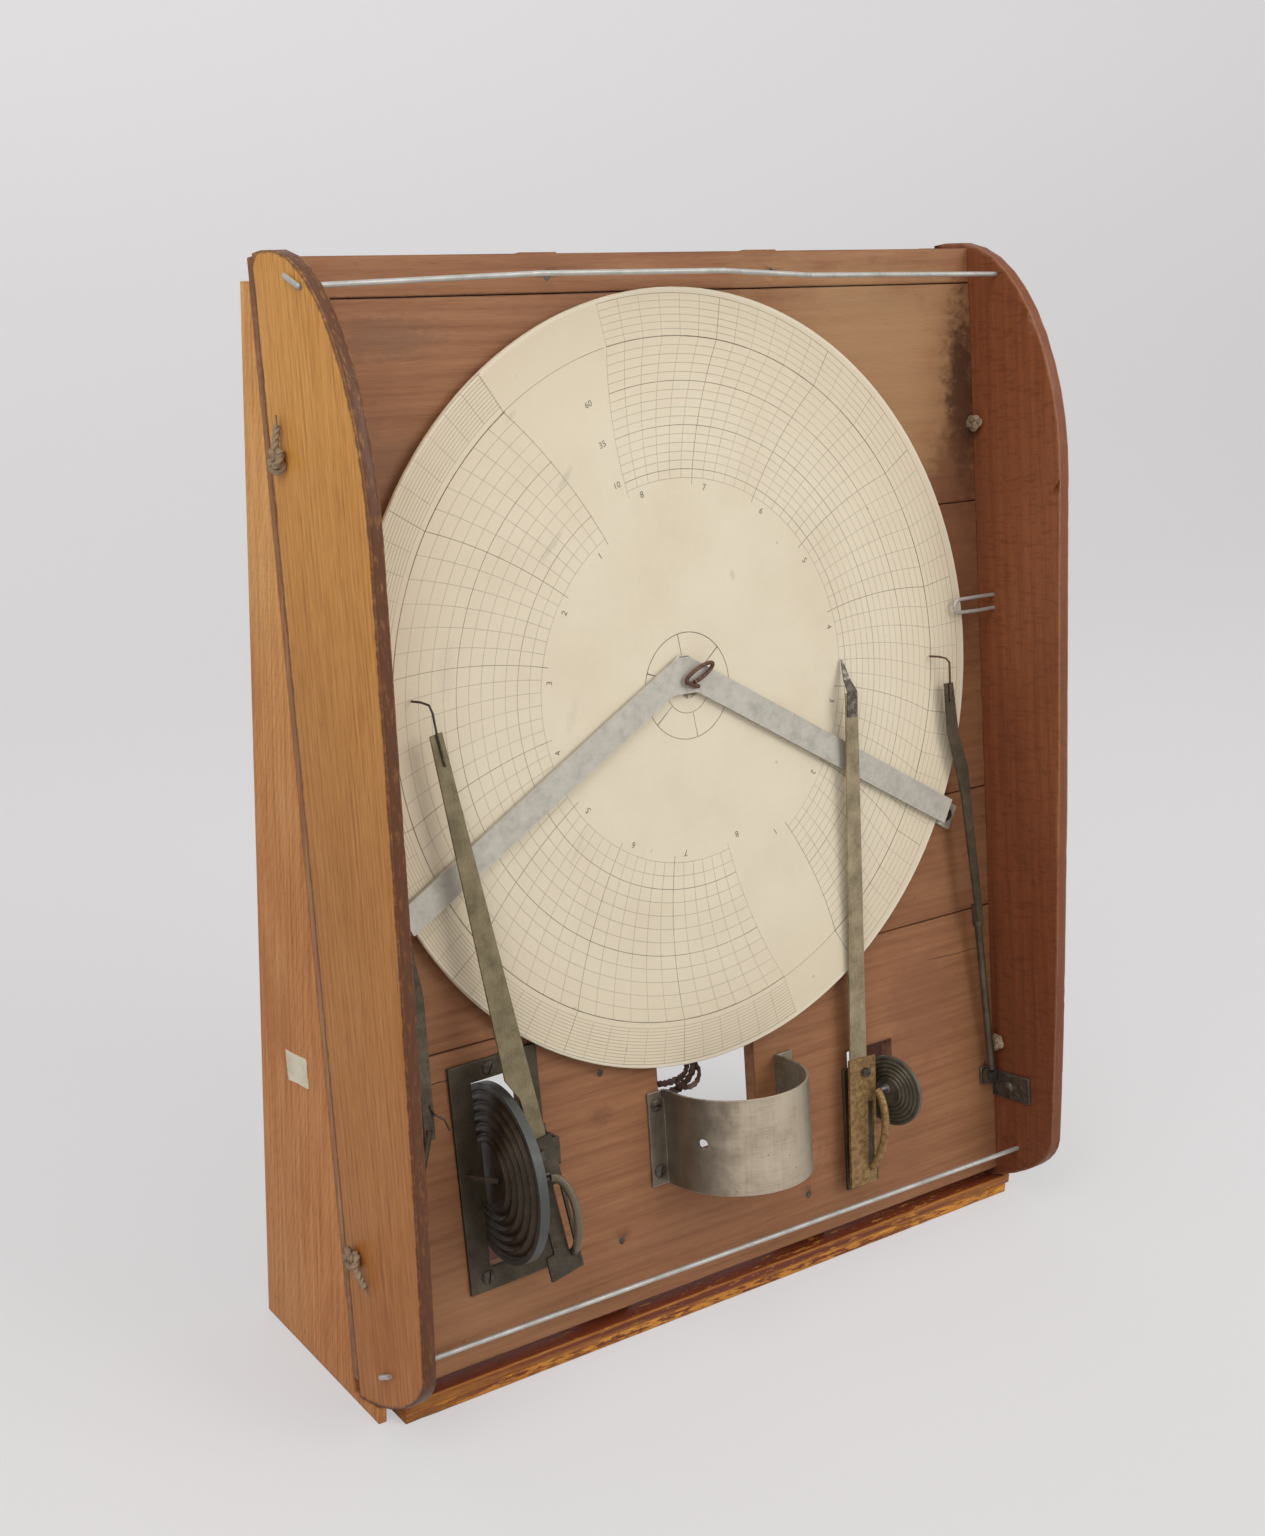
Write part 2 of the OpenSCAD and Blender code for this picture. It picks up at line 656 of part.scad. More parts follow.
module centre_arbor() {
    color("silver") on_board() difference() {
        union() {
            peg(chart_x, chart_s, -back_plate_w + 0.4, chart_front + 0.7, arbor_r);
            peg(chart_x, chart_s, -train_end, -back_plate_w + 1, 1.5);
            toothed(chart_x, chart_s, -14.7, -11.5, gear_points(pinion_teeth, barrel_module, 0.3, 90));
            toothed(chart_x, chart_s, -28.7, -27.5, gear_points(wheel_teeth, wheel_module, 0.2, 90));
        }
        peg(chart_x, chart_s, -2, chart_front + 2, pin_r + run_gap);
    }
}
module mainspring_barrel() {
    s = chart_s + barrel_dy;
    color("gold") on_board() difference() {
        union() {
            toothed(chart_x, s, -14, -12,
                gear_points(barrel_teeth, barrel_module, 0.3, 90 + 180/barrel_teeth));
            peg(chart_x, s, -25, -14 + eps, barrel_pitch - 1.3);
        }
        peg(chart_x, s, -25 - lap, -14, barrel_pitch - 2.1);
        peg(chart_x, s, -26, -11, winder_r + run_gap);
    }
}
module mainspring() {
    turns = 5;
    n = 24*turns;
    r1 = winder_r + 1.2;
    pitch = (barrel_pitch - 2.4 - r1)/turns;
    spiral = [for (i = [0:n]) let (a = 360*i/24, r = r1 + pitch*i/24) [r*cos(a), r*sin(a)]];
    color("steelblue") on_board() slab(-23.5, -15.5) translate([chart_x, chart_s + barrel_dy])
        polygon(strip_points(spiral, 0.3));
}
module barrel_arbor() {
    s = chart_s + barrel_dy;
    color("silver") on_board() {
        peg(chart_x, s, -train_end - 6.5, -plate_front, winder_r);
        slab(-train_end - 14, -train_end - 6.4) translate([chart_x - winder_side/2, s - winder_side/2])
            square(winder_side);
    }
}
module winding_key() {
    s = chart_s + barrel_dy;
    w = -train_end - 12;
    color("darkgoldenrod") on_board() difference() {
        union() {
            peg(chart_x, s, w - 6, w, 3.4);
            for (side = [-1, 1]) translate([chart_x + side*6.5, -w + 6.5, s + 1]) rotate([90, 0, 0])
                rotate([90, 0, 0]) cylinder(h = 2, r = 6, $fn = 40);
        }
        slab(w - 3.5, w + lap) translate([chart_x - winder_side/2, s - winder_side/2]) square(winder_side);
        for (side = [-1, 1]) translate([chart_x + side*7.5, -w + 8, s + 2]) rotate([180, 0, 0])
            cylinder(h = 4, r = 2, $fn = 32);
    }
}
module escape_wheel() {
    s = chart_s + escape_dy;
    ratchet = [for (i = [0:14], c = [[0, 9], [5, 7], [20, 7]])
        [c[1]*cos(24*i + c[0]), c[1]*sin(24*i + c[0])]];
    color("gold") on_board() {
        peg(chart_x, s, -train_end, -plate_front, staff_r);
        toothed(chart_x, s, -20.8, -20, ratchet);
        toothed(chart_x, s, -29.5, -26.5,
            gear_points(escape_leaves, wheel_module, 0.2, 270 + 180/escape_leaves));
    }
}
module balance_wheel() {
    color("gold") on_board() {
        peg(chart_x + balance_at[0], chart_s + balance_at[1], -train_end, -plate_front, staff_r);
        slab(-17.2, -16) translate([chart_x + balance_at[0], chart_s + balance_at[1]]) {
            difference() {
                circle(r = 9, $fn = 60);
                circle(r = 7.6, $fn = 60);
            }
            rotate(35) square([16, 2.4], center = true);
        }
    }
}
module movement_plates() {
    color("gold") on_board() difference() {
        for (w = [plate_front, back_plate_w]) peg(chart_x, chart_s, -w - plate_t, -w, plate_r);
        peg(chart_x, chart_s, -plate_front - plate_t - lap, 0, arbor_r + run_gap);
        peg(chart_x, chart_s, -train_end - lap, 0, 1.5 + run_gap);
        peg(chart_x, chart_s + barrel_dy, -train_end - lap, 0, winder_r + run_gap);
        peg(chart_x, chart_s + escape_dy, -train_end - lap, 0, staff_r + run_gap);
        peg(chart_x + balance_at[0], chart_s + balance_at[1], -train_end - lap, 0, staff_r + run_gap);
        for (a = pillar_angles) peg(chart_x + pillar_ring*cos(a), chart_s + pillar_ring*sin(a),
            -train_end - lap, 0, pillar_r);
    }
}
module plate_pillars() {
    color("gold") on_board() for (a = pillar_angles) {
        x = chart_x + pillar_ring*cos(a);
        s = chart_s + pillar_ring*sin(a);
        peg(x, s, -train_end - 1, -plank_t - drum_wall, pillar_r);
        peg(x, s, -back_plate_w, -plate_front - plate_t, pillar_r + 0.8);
    }
}
module clock_case() {
    color("darkkhaki") on_board() {
        difference() {
            peg(chart_x, chart_s, -case_back, -plank_t, drum_r);
            peg(chart_x, chart_s, -case_back - lap, -plank_t - drum_wall, drum_r - drum_wall);
            peg(chart_x, chart_s, -case_back, 0, 7);
        }
        for (side = [-1, 1]) slab(-plank_t - mount_t, -plank_t) difference() {
            intersection() {
                translate([chart_x - lug_w/2, side > 0 ? chart_s : chart_s - big]) square([lug_w, big]);
                translate([chart_x, chart_s]) difference() {
                    circle(r = drum_r + lug_out + 4.5, $fn = 96);
                    circle(r = drum_r - 0.5, $fn = 96);
                }
            }
            translate([chart_x, chart_s + side*(drum_r + lug_out)]) circle(r = screw_r, $fn = 32);
        }
    }
}
module clock_lid() {
    color("darkkhaki") on_board() difference() {
        peg(chart_x, chart_s, -case_back - drum_wall, -case_back + 7, drum_r + 0.9);
        peg(chart_x, chart_s, -case_back, -case_back + 7 + lap, drum_r);
        peg(chart_x, chart_s + barrel_dy, -case_back - 2*lap - 1, 0, 5);
    }
}

// The bridge across the chart, cranked down to the board beyond the rim, and its eye pin
module along_arm(side) {
    translate([apex_x, 0, apex_s]) mirror([side < 0 ? 1 : 0, 0, 0]) rotate([0, arm_angle, 0]) children();
}
// Outline of the flat middle: rounded apex, two arms and a filled inner corner
function arm_point(side, t, n) = [apex_x + side*(t*cos(arm_angle) + n*sin(arm_angle)),
    apex_s - t*sin(arm_angle) + n*cos(arm_angle)];
module bridge() {
    half = bridge_w/2;
    inner = half*tan(arm_angle) + 7;
    ends = [arm_reach(-1) + bridge_t, arm_reach(1) + bridge_t];
    color("lightsteelblue") on_board() difference() {
        union() {
            slab(bridge_back, bridge_front) polygon(concat(
                circle_points(apex_x, apex_s, half, 90 + arm_angle, 90 - arm_angle, 8),
                [arm_point(1, ends[1], half), arm_point(1, ends[1], -half), arm_point(1, inner, -half),
                 arm_point(-1, inner, -half), arm_point(-1, ends[0], -half), arm_point(-1, ends[0], half)]));
            for (side = [-1, 1]) along_arm(side) let (t = arm_reach(side)) shelf(-half, half)
                polygon([[t, -bridge_back - eps], [t + bridge_t, -bridge_back - eps],
                    [t + bridge_t, -bridge_t], [t + foot_len, -bridge_t], [t + foot_len, 0], [t, 0]]);
        }
        peg(chart_x, chart_s, 0, bridge_front + lap, pin_r + run_gap);
        for (side = [-1, 1]) peg(bridge_foot(side)[0], bridge_foot(side)[1], -lap, bridge_t + lap, screw_r);
    }
}
module eye_pin() {
    tilt = 23;
    rise = bridge_front + pin_r + 1.3;
    loop = [for (a = [200:-30:-115]) let (u = 7.2*cos(a), v = 2.2*sin(a))
        [chart_x + 0.8 + u*cos(tilt) - v*sin(tilt), rise, chart_s + 5.2 + u*sin(tilt) + v*cos(tilt)]];
    color("saddlebrown") on_board() {
        peg(chart_x, chart_s, -1, rise - 0.6, pin_r);
        wire(concat([[chart_x + 0.3, rise - 0.9, chart_s - 0.1],
            [chart_x - 2.4, rise - 0.4, chart_s + 0.7]], loop), pin_r, 10);
    }
}

// A capsule with ringed faces, its axis along x
function ring_height(r, outer, mid, edge) = let (t = (r - 0.36*outer)/(0.93*outer - 0.36*outer))
    mid + (edge - mid)*t + 0.022*outer*sin(360*5*t);
module capsule(x, s, w, turn, outer, half, edge) {
    face = concat([[0, half], [0.36*outer, half]],
        [for (i = [1:30]) let (r = outer*(0.36 + 0.57*i/30)) [r, ring_height(r, outer, half, edge)]],
        [[outer, edge]]);
    translate([x, -w, s]) rotate([0, 0, -turn]) rotate([0, 90, 0]) rotate_extrude($fn = 96)
        polygon(concat(face, [for (i = [len(face) - 1:-1:0]) [face[i][0], -face[i][1]]]));
}
module pressure_capsule() {
    color("darkolivegreen") on_board()
        capsule(capsule_x, capsule_s, capsule_w, capsule_turn, capsule_r, capsule_half, 1.9);
}
module temperature_capsule() {
    color("darkslategray") on_board() capsule(bulb_x, bulb_s, bulb_w, bulb_turn, bulb_r, bulb_half, 0.9);
}
module pressure_plate() {
    color("darkslategray") on_board() translate([press_plate_x, 0, press_plate_s])
        rotate([0, -press_plate_lean, 0]) slab(0, mount_t) difference() {
            translate([-press_plate_w/2, -press_plate_h/2]) square([press_plate_w, press_plate_h]);
            difference() {
                translate([window_l - press_plate_x, window_s1 - press_plate_s])
                    square([window_r - window_l, window_s2 - window_s1]);
                translate([window_l - press_plate_x - lap, capsule_s - 12 - press_plate_s])
                    square([lap + 1.6, 25]);
            }
            for (p = press_screws) translate(p) circle(r = screw_r, $fn = 32);
        }
}
module temperature_plate() {
    color("darkslategray") on_board() slab(0, mount_t) difference() {
        translate([bulb_plate_l, bulb_plate_s1]) square([bulb_plate_w, bulb_plate_s2 - bulb_plate_s1]);
        translate([bulb_plate_l - lap, bulb_pivot[1] + 1.2]) square([7.5, 10]);
        for (p = bulb_plate_screws) translate(p) circle(r = screw_r, $fn = 32);
        translate([bulb_pivot[0], bulb_pivot[1]]) circle(r = pivot_r, $fn = 32);
    }
}

// A rod from the mounting plate to the large capsule, and an angle behind the small one
module capsule_stays() {
    color("darkslategray") on_board() {
        difference() {
            span([capsule_x - 14.1, mount_t - 1, capsule_s + 1],
                [capsule_x - 6.5, capsule_w + 9.2, capsule_s + 1], 1.1);
            slab(-lap, mount_t) translate([capsule_x - 18, capsule_s - 4]) square(10);
        }
        difference() {
            shelf(bulb_s - 8, bulb_s + 4) polygon([[bulb_x + bulb_half + 0.2, 0], [anchor_x + 5, 0],
                [anchor_x + 5, -mount_t], [bulb_x + bulb_half + 1.4, -mount_t],
                [bulb_x + bulb_half + 1.4, -bulb_w], [bulb_x + bulb_half + 0.2, -bulb_w]]);
            peg(anchor_x, bulb_s - 4, -lap, 3, screw_r);
        }
    }
}

// Lever plates: the part's own frame is v across, u up from the pivot and w forward of its back
module at_lever(pivot, lean) {
    on_board() translate([pivot[0], -pivot[2], pivot[1]]) rotate([0, lean, 0]) children();
}
function strip_points(p, t) =
    let (n = len(p), dirs = [for (i = [0:n - 1]) unit(p[min(i + 1, n - 1)] - p[max(i - 1, 0)])])
    concat([for (i = [0:n - 1]) p[i] + t*[-dirs[i][1], dirs[i][0]]],
        [for (i = [n - 1:-1:0]) p[i] - t*[-dirs[i][1], dirs[i][0]]]);
module lever_plate(notched, tip) {
    slab(0, lever_t) difference() {
        translate([-8.8, -lever_below]) square([lever_w, lever_below + lever_above]);
        circle(r = pivot_r + run_gap, $fn = 48);
        translate([tongue_v - tongue_r, tongue_root + 1.5])
            square([2*tongue_r, -lever_crank - 6 - tongue_root]);
        if (notched) translate([-8.8 - lap, -40]) square([3.6 + lap, 60]);
        if (notched) translate([-8.8 - lap, -lever_crank - 4.5]) square([6 + lap, 9]);
    }
    front = lever_t/2;
    low = bezier([tongue_v, front, tongue_root], [tongue_v, front + 0.6*tongue_bow, tongue_root + 2],
        [tongue_v + 1.6, front + tongue_bow, -30], [tongue_v + 1.6, front + tongue_bow, -22], 8);
    high = bezier([tongue_v + 1.6, front + tongue_bow, -22], [tongue_v + 1.6, front + tongue_bow, -14],
        [(tip + tongue_v + 3)/2, front + 0.5*tongue_bow, -lever_crank], [tip, stub_w, -lever_crank], 7);
    wire(concat(low, [for (i = [1:7]) high[i]]), tongue_r);
}
function arm_face(u, incline) = (u - lever_above - 1)*tan(incline);
module arm_blade(outline, incline) {
    knee = lever_above + 1;
    rise = arm_face(arm_len, incline);
    difference() {
        intersection() {
            slab(-20, 20) polygon(outline);
            side_slab(-20, 20) polygon([[arm_t, -8], [0, -8], [0, knee], [-rise, arm_len],
                [arm_t - rise, arm_len], [arm_t, knee]]);
        }
        peg(0, 0, -5, 5, pivot_r + run_gap);
    }
}
module pressure_lever() {
    color("dimgray") at_lever(press_pivot, press_lean) lever_plate(true, press_tip);
}
module pressure_arm() {
    color("darkkhaki") at_lever(press_pivot, press_lean) arm_blade([[-2.2, -8], [4.5, -8],
        [4.5, 8], [5.8, arm_len], [0.6, arm_len], [-6.3, 0.2*arm_len], [-2.2, 0.145*arm_len]],
        press_incline);
}
module pressure_pen() {
    w = arm_face(arm_len, press_incline) + pen_r;
    foot_w = arm_face(arm_len - 12, press_incline) + pen_r;
    color(steel_dark) at_lever(press_pivot, press_lean) wire([[3.2, foot_w, arm_len - 12], [3.2, w, arm_len],
        [3.4, w + 0.4, arm_len + 8], [3, w, arm_len + 11], [2, w - 3.5, arm_len + 12.2],
        [1.4, chart_front + pen_gap - press_pivot[2], arm_len + 12.4]], pen_r, 8);
}
module temperature_lever() {
    color("darkgoldenrod") at_lever(bulb_pivot, bulb_lean) lever_plate(false, bulb_tip);
}
module temperature_arm() {
    color("darkkhaki") at_lever(bulb_pivot, bulb_lean) arm_blade([[-7.2, -8], [2.2, -8],
        [2.2, 8], [-5.1, arm_len], [-11.5, arm_len], [-7.2, 8]], bulb_incline);
}
// A folded nib: a foot on the arm's face and a tapering sheet that bends down to the chart
module nib_bar(half, u, w) {
    translate([-half, -w - 0.4, u]) cube([2*half, 0.4, 0.4]);
}
module temperature_pen() {
    w = arm_face(arm_len, bulb_incline);
    bars = [[2.6, arm_len - 10, w - 9.5*tan(bulb_incline)], [2.6, arm_len + 0.2, w + 0.05],
        [1.8, arm_len + 5, w - 3], [0.4, arm_len + 13, chart_front + pen_gap - bulb_pivot[2]]];
    color("silver") at_lever(bulb_pivot, bulb_lean) translate([-8.3, 0, 0]) for (i = [0:2]) hull() {
        nib_bar(bars[i][0], bars[i][1], bars[i][2]);
        nib_bar(bars[i + 1][0], bars[i + 1][1], bars[i + 1][2]);
    }
}

// The links that carry each capsule's movement to its lever
module pressure_link() {
    x = capsule_x + capsule_half;
    w2 = press_pivot[2] + stub_w;
    color("silver") on_board() {
        bar_x(x + 0.35, x + 1.1, capsule_w, capsule_s, 2.4);
        translate([x + 0.4, -w2 - 0.8, capsule_s - 2]) cube([0.8, w2 + 0.8 - capsule_w + 1.5, 4]);
        bar_x(x + 0.4, press_pivot[0] + press_tip + 0.9, w2, capsule_s + 0.1, 0.7);
    }
}
module temperature_link() {
    x = bulb_x - bulb_half;
    color("silver") on_board() {
        bar_x(x - 1.1, x - 0.35, bulb_w, bulb_s + 1.5, 2);
        bar_x(bulb_pivot[0] + 6.75, x - 0.5, bulb_pivot[2] + stub_w, bulb_s + 2.5, 0.8);
    }
}
module pressure_bracket() {
    x = window_r + 4;
    color("dimgray") on_board() difference() {
        shelf(capsule_s + 2, capsule_s + 13) polygon([[x, -mount_t], [x + 5.4, -mount_t],
            [x + 5.4, -mount_t - 1.2], [x + 1.2, -mount_t - 1.2], [x + 1.2, -press_pivot[2] + 1.3],
            [press_pivot[0] - 2.4, -press_pivot[2] + 1.3], [press_pivot[0] - 2.4, -press_pivot[2] + 2.5],
            [x, -press_pivot[2] + 2.5]]);
        peg(press_pivot[0], press_pivot[1], 0, 30, pivot_r);
    }
}

// The pivots: each pin is fixed at its back end and its head keeps the lever on
module headed_pin(x, s, w1, w2, lever_front) {
    peg(x, s, w1, w2, pivot_r);
    peg(x, s, lever_front + 0.3, w2, pivot_r + 0.9);
}
module pivot_pins() {
    color(steel_dark) on_board() {
        headed_pin(press_pivot[0], press_pivot[1], press_pivot[2] - 2.5, press_pivot[2] + lever_t + 1.3,
            press_pivot[2] + lever_t);
        headed_pin(bulb_pivot[0], bulb_pivot[1], 0, bulb_pivot[2] + lever_t + 1.3, bulb_pivot[2] + lever_t);
        for (side = [-1, 1])
            headed_pin(side*rim_pivot_x, rim_pivot_s, -plank_t + 1, eye_w + 2.3, eye_w + 1.2);
    }
}

// The two pens that ride near the chart's rim, each on a plate screwed to its cheek
module rim_brackets() {
    color(steel_dark) on_board() for (side = [-1, 1]) mirror([side < 0 ? 1 : 0, 0, 0]) difference() {
        union() {
            translate([inner_w/2 - rim_plate_t, -rim_plate_d, rim_pivot_s - rim_plate_h + 1])
                cube([rim_plate_t, rim_plate_d, rim_plate_h]);
            slab(0, rim_plate_t) translate([rim_pivot_x - 4, rim_pivot_s - 4])
                square([rim_pivot_in + 4, 8]);
        }
        peg(rim_pivot_x, rim_pivot_s, -lap, 4, pivot_r);
        bar_x(inner_w/2 - 4, inner_w/2 + lap, rim_screw[1], rim_screw[0], screw_r);
    }
}
module lever_eye(side) {
    difference() {
        peg(side*rim_pivot_x, rim_pivot_s, eye_w, eye_w + 1.2, 4.2);
        peg(side*rim_pivot_x, rim_pivot_s, 0, 10, pivot_r + run_gap);
    }
}
module wind_lever() {
    color("darkslategray") on_board() {
        difference() {
            union() {
                lever_eye(1);
                span([rim_pivot_x - 0.4, 4.3, rim_pivot_s + 3.6],
                    [rim_pivot_x - 9.5, leaf_w - 1.8, leaf_s[0] + 2], rod_r);
            }
            peg(rim_pivot_x, rim_pivot_s, 0, 10, pivot_r + run_gap);
        }
        span([rim_pivot_x - 8.9, leaf_w - 1.9, leaf_s[0] - 3],
            [rim_pivot_x - 10, leaf_w - 1.8, leaf_s[0] + 6.5], 2.3);
        slab(leaf_w, leaf_w + leaf_t) translate([rim_pivot_x, 0]) polygon(concat(
            [for (i = [0:4]) [-leaf_left[i], leaf_s[i]]],
            [for (i = [4:-1:0]) [-leaf_right[i], leaf_s[i]]]));
    }
}
module wind_pen() {
    w = leaf_w + leaf_t + pen_r;
    color(steel_dark) on_board() translate([rim_pivot_x, 0, rim_tip_s]) wire([[-24.9, w, -20.3],
        [-24.9, w, -12.3], [-25.1, w + 0.3, -3.3], [-27, w, -1.3], [-30, w - 1.2, -0.3],
        [-32.3, chart_front + pen_gap, 0]], pen_r, 8);
}
module humidity_lever() {
    color("darkslategray") on_board() {
        difference() {
            union() {
                lever_eye(-1);
                span([-rim_pivot_x + 0.4, 4.3, rim_pivot_s + 3.6],
                    [-rim_pivot_x + 11.1, bar_w + 0.6, bar_s[0] + 4], rod_r);
            }
            peg(-rim_pivot_x, rim_pivot_s, 0, 10, pivot_r + run_gap);
        }
        translate([-rim_pivot_x, 0, 0]) {
            slab(bar_w, bar_w + 1.2) polygon([[8.9, bar_s[0]], [8.9, bar_s[1]], [-3.7, bar_s[2]],
                [0.3, bar_s[2]], [13.5, bar_s[1] + 1], [13.5, bar_s[0]]]);
            wire([[12, bar_w + 1.6, bar_s[0] + 13], [13.5, bar_w + 2, bar_s[0] + 9.5],
                [17, bar_w + 2.6, bar_s[0] + 7], [18.7, bar_w + 2.8, bar_s[0] + 2.5]], pen_r, 8);
        }
    }
}
module humidity_pen() {
    w = bar_w + 1.2 + pen_r;
    color(steel_dark) on_board() translate([-rim_pivot_x, 0, rim_tip_s]) wire([[-1.5, w, -18.3],
        [-1.5, w, -10.3], [-1.1, w - 0.2, -3.3], [0.5, w - 1.6, -1.3], [3.1, w - 4.2, -0.3],
        [5.5, chart_front + pen_gap, 0]], pen_r, 8);
}

module holder_band() {
    color("gray") on_board() difference() {
        shelf(band_s, band_s + band_h) translate([band_x, 0]) {
            difference() {
                union() {
                    translate([0, -band_leg]) circle(r = band_r + band_t, $fn = 96);
                    translate([-band_r - band_t, -band_leg]) square([2*band_r + 2*band_t, band_leg]);
                }
                translate([0, -band_leg]) circle(r = band_r, $fn = 96);
                translate([-band_r, -band_leg]) square([2*band_r, band_leg + lap]);
                translate([-big, 0]) square([2*big, big]);
            }
            for (side = [-1, 1]) translate([side > 0 ? band_r : -band_r - band_foot - band_t, -band_t])
                square([band_foot + band_t, band_t]);
        }
        translate([band_x, -band_leg, band_s + 21]) rotate([90, 0, -65])
            cylinder(h = band_r + 5, r = 2, $fn = 32);
        for (side = [-1, 1], s = band_screw_s) peg(band_x + side*band_foot_x, s, -lap, band_t + lap, screw_r);
    }
}
module leather_strip() {
    x = band_window[0] + 0.7;
    curl = bezier([x, 5], [x, 1.8], [x + 8.3, 1.8], [x + 17.8, -6], 10);
    color("saddlebrown") on_board() shelf(95.8, 107.4) polygon(strip_points(curl, 0.7));
}

plank_bottom();
plank_lower();
plank_middle();
plank_upper();
plank_top();
battens();
left_cheek();
right_cheek();
stiles();
left_side_panel();
right_side_panel();
packing_strip();
base_upper_board();
base_lower_board();
board_nails();
wood_screws();
top_wire();
bottom_wire();
cord_knots();
rim_staple();
paper_label();
chart_card();
chart_sheet();
chart_hub();
centre_arbor();
bridge();
eye_pin();
clock_case();
clock_lid();
movement_plates();
plate_pillars();
mainspring_barrel();
mainspring();
barrel_arbor();
winding_key();
escape_wheel();
balance_wheel();
pressure_plate();
pressure_capsule();
capsule_stays();
pressure_link();
pressure_bracket();
pressure_lever();
pressure_arm();
pressure_pen();
temperature_plate();
temperature_capsule();
temperature_link();
temperature_lever();
temperature_arm();
temperature_pen();
rim_brackets();
wind_lever();
wind_pen();
humidity_lever();
humidity_pen();
holder_band();
leather_strip();
pivot_pins();
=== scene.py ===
import bpy, bmesh, json, math
from mathutils import Vector, Matrix, noise, kdtree

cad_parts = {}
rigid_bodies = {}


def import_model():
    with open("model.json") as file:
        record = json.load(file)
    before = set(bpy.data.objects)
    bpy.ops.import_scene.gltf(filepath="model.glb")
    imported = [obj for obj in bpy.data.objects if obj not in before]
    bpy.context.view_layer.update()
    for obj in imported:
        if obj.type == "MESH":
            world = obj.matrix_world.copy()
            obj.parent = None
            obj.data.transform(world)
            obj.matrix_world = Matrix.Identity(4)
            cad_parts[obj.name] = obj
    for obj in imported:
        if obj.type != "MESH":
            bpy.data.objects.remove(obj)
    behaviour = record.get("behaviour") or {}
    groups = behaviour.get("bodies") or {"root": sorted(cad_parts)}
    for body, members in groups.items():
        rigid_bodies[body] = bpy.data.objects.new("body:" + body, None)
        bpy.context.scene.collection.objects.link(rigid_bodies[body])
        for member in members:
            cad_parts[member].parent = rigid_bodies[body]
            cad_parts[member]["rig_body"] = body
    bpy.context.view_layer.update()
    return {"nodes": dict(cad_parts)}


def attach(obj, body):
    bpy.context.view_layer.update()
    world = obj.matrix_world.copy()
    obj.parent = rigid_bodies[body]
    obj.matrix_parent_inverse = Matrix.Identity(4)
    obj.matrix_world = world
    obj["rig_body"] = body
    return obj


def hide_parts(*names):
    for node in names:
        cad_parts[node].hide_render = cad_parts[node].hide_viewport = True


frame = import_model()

nodes = frame["nodes"]
scene = bpy.context.scene

# Board coordinates in millimetres: x to the right, s up the leaning board, w out of its face
lean = math.radians(9.1)
frameY = -34.8838
perRadian, fullTurn = 57.2958, 6.283
chartAt = (-6, 260.5)
toRight = Vector((1, 0, 0))
cheekFaces = (162.5, 168)
upBoard = Vector((0, math.sin(lean), math.cos(lean)))
outBoard = Vector((0, -math.cos(lean), math.sin(lean)))


def place(x, s, w):
    return (Vector((x, frameY, 0)) + upBoard*s + outBoard*w)/1000


def toBoard(point):
    mm = point*1000 - Vector((0, frameY, 0))
    return mm.x, mm.dot(upBoard), mm.dot(outBoard)


def cosSin(degrees):
    turn = math.radians(degrees)
    return math.cos(turn), math.sin(turn)


# ---- camera and light
camera = dict(location=(-0.4658, -0.5414, 0.4372), yaw=32.43, pitch=17.37, roll=-0.23, lens=43.37, shiftX=0.1231,
    shiftY=0.0111)


def makeCamera(look):
    yaw, pitch, roll = (math.radians(look[k]) for k in ("yaw", "pitch", "roll"))
    ahead = Vector((math.sin(yaw)*math.cos(pitch), math.cos(yaw)*math.cos(pitch), -math.sin(pitch)))
    right = Vector((math.cos(yaw), -math.sin(yaw), 0))
    down = ahead.cross(right)
    side = right*math.cos(roll) + down*math.sin(roll)
    top = right*math.sin(roll) - down*math.cos(roll)
    data = bpy.data.cameras.new("camera")
    data.lens, data.sensor_width, data.sensor_fit = look["lens"], 36, "AUTO"
    data.shift_x, data.shift_y = look["shiftX"], look["shiftY"]
    data.clip_start, data.clip_end = 0.02, 30
    data.dof.use_dof = False
    item = bpy.data.objects.new("camera", data)
    scene.collection.objects.link(item)
    item.matrix_world = Matrix.Translation(look["location"]) @ Matrix((side, top, -ahead)).transposed().to_4x4()
    scene.camera = item


makeCamera(camera)
scene.view_settings.view_transform = "Standard"
print("camera ready")


# ---- nodes: one class wraps a socket, one method makes every other node
class Sock:
    def __init__(self, graph, raw):
        self.graph, self.raw = graph, raw

    def sum(self, operation, *others):
        return self.graph.node("ShaderNodeMath", {"operation": operation}, dict(enumerate((self,) + others)))

    def flipped(self, operation, other):
        return self.graph.node("ShaderNodeMath", {"operation": operation}, {0: other, 1: self})


# a + b and the like on sockets, with a number on either side
for name, operation in dict(add="ADD", sub="SUBTRACT", mul="MULTIPLY", truediv="DIVIDE").items():
    setattr(Sock, "__%s__" % name, lambda self, other, how=operation: self.sum(how, other))
    setattr(Sock, "__r%s__" % name, lambda self, other, how=operation: self.flipped(how, other))
for name, operation in dict(__abs__="ABSOLUTE", __pow__="POWER", __mod__="FLOORED_MODULO", above="GREATER_THAN",
                            lowest="MINIMUM", highest="MAXIMUM", sine="SINE").items():
    setattr(Sock, name, lambda self, *others, how=operation: self.sum(how, *others))


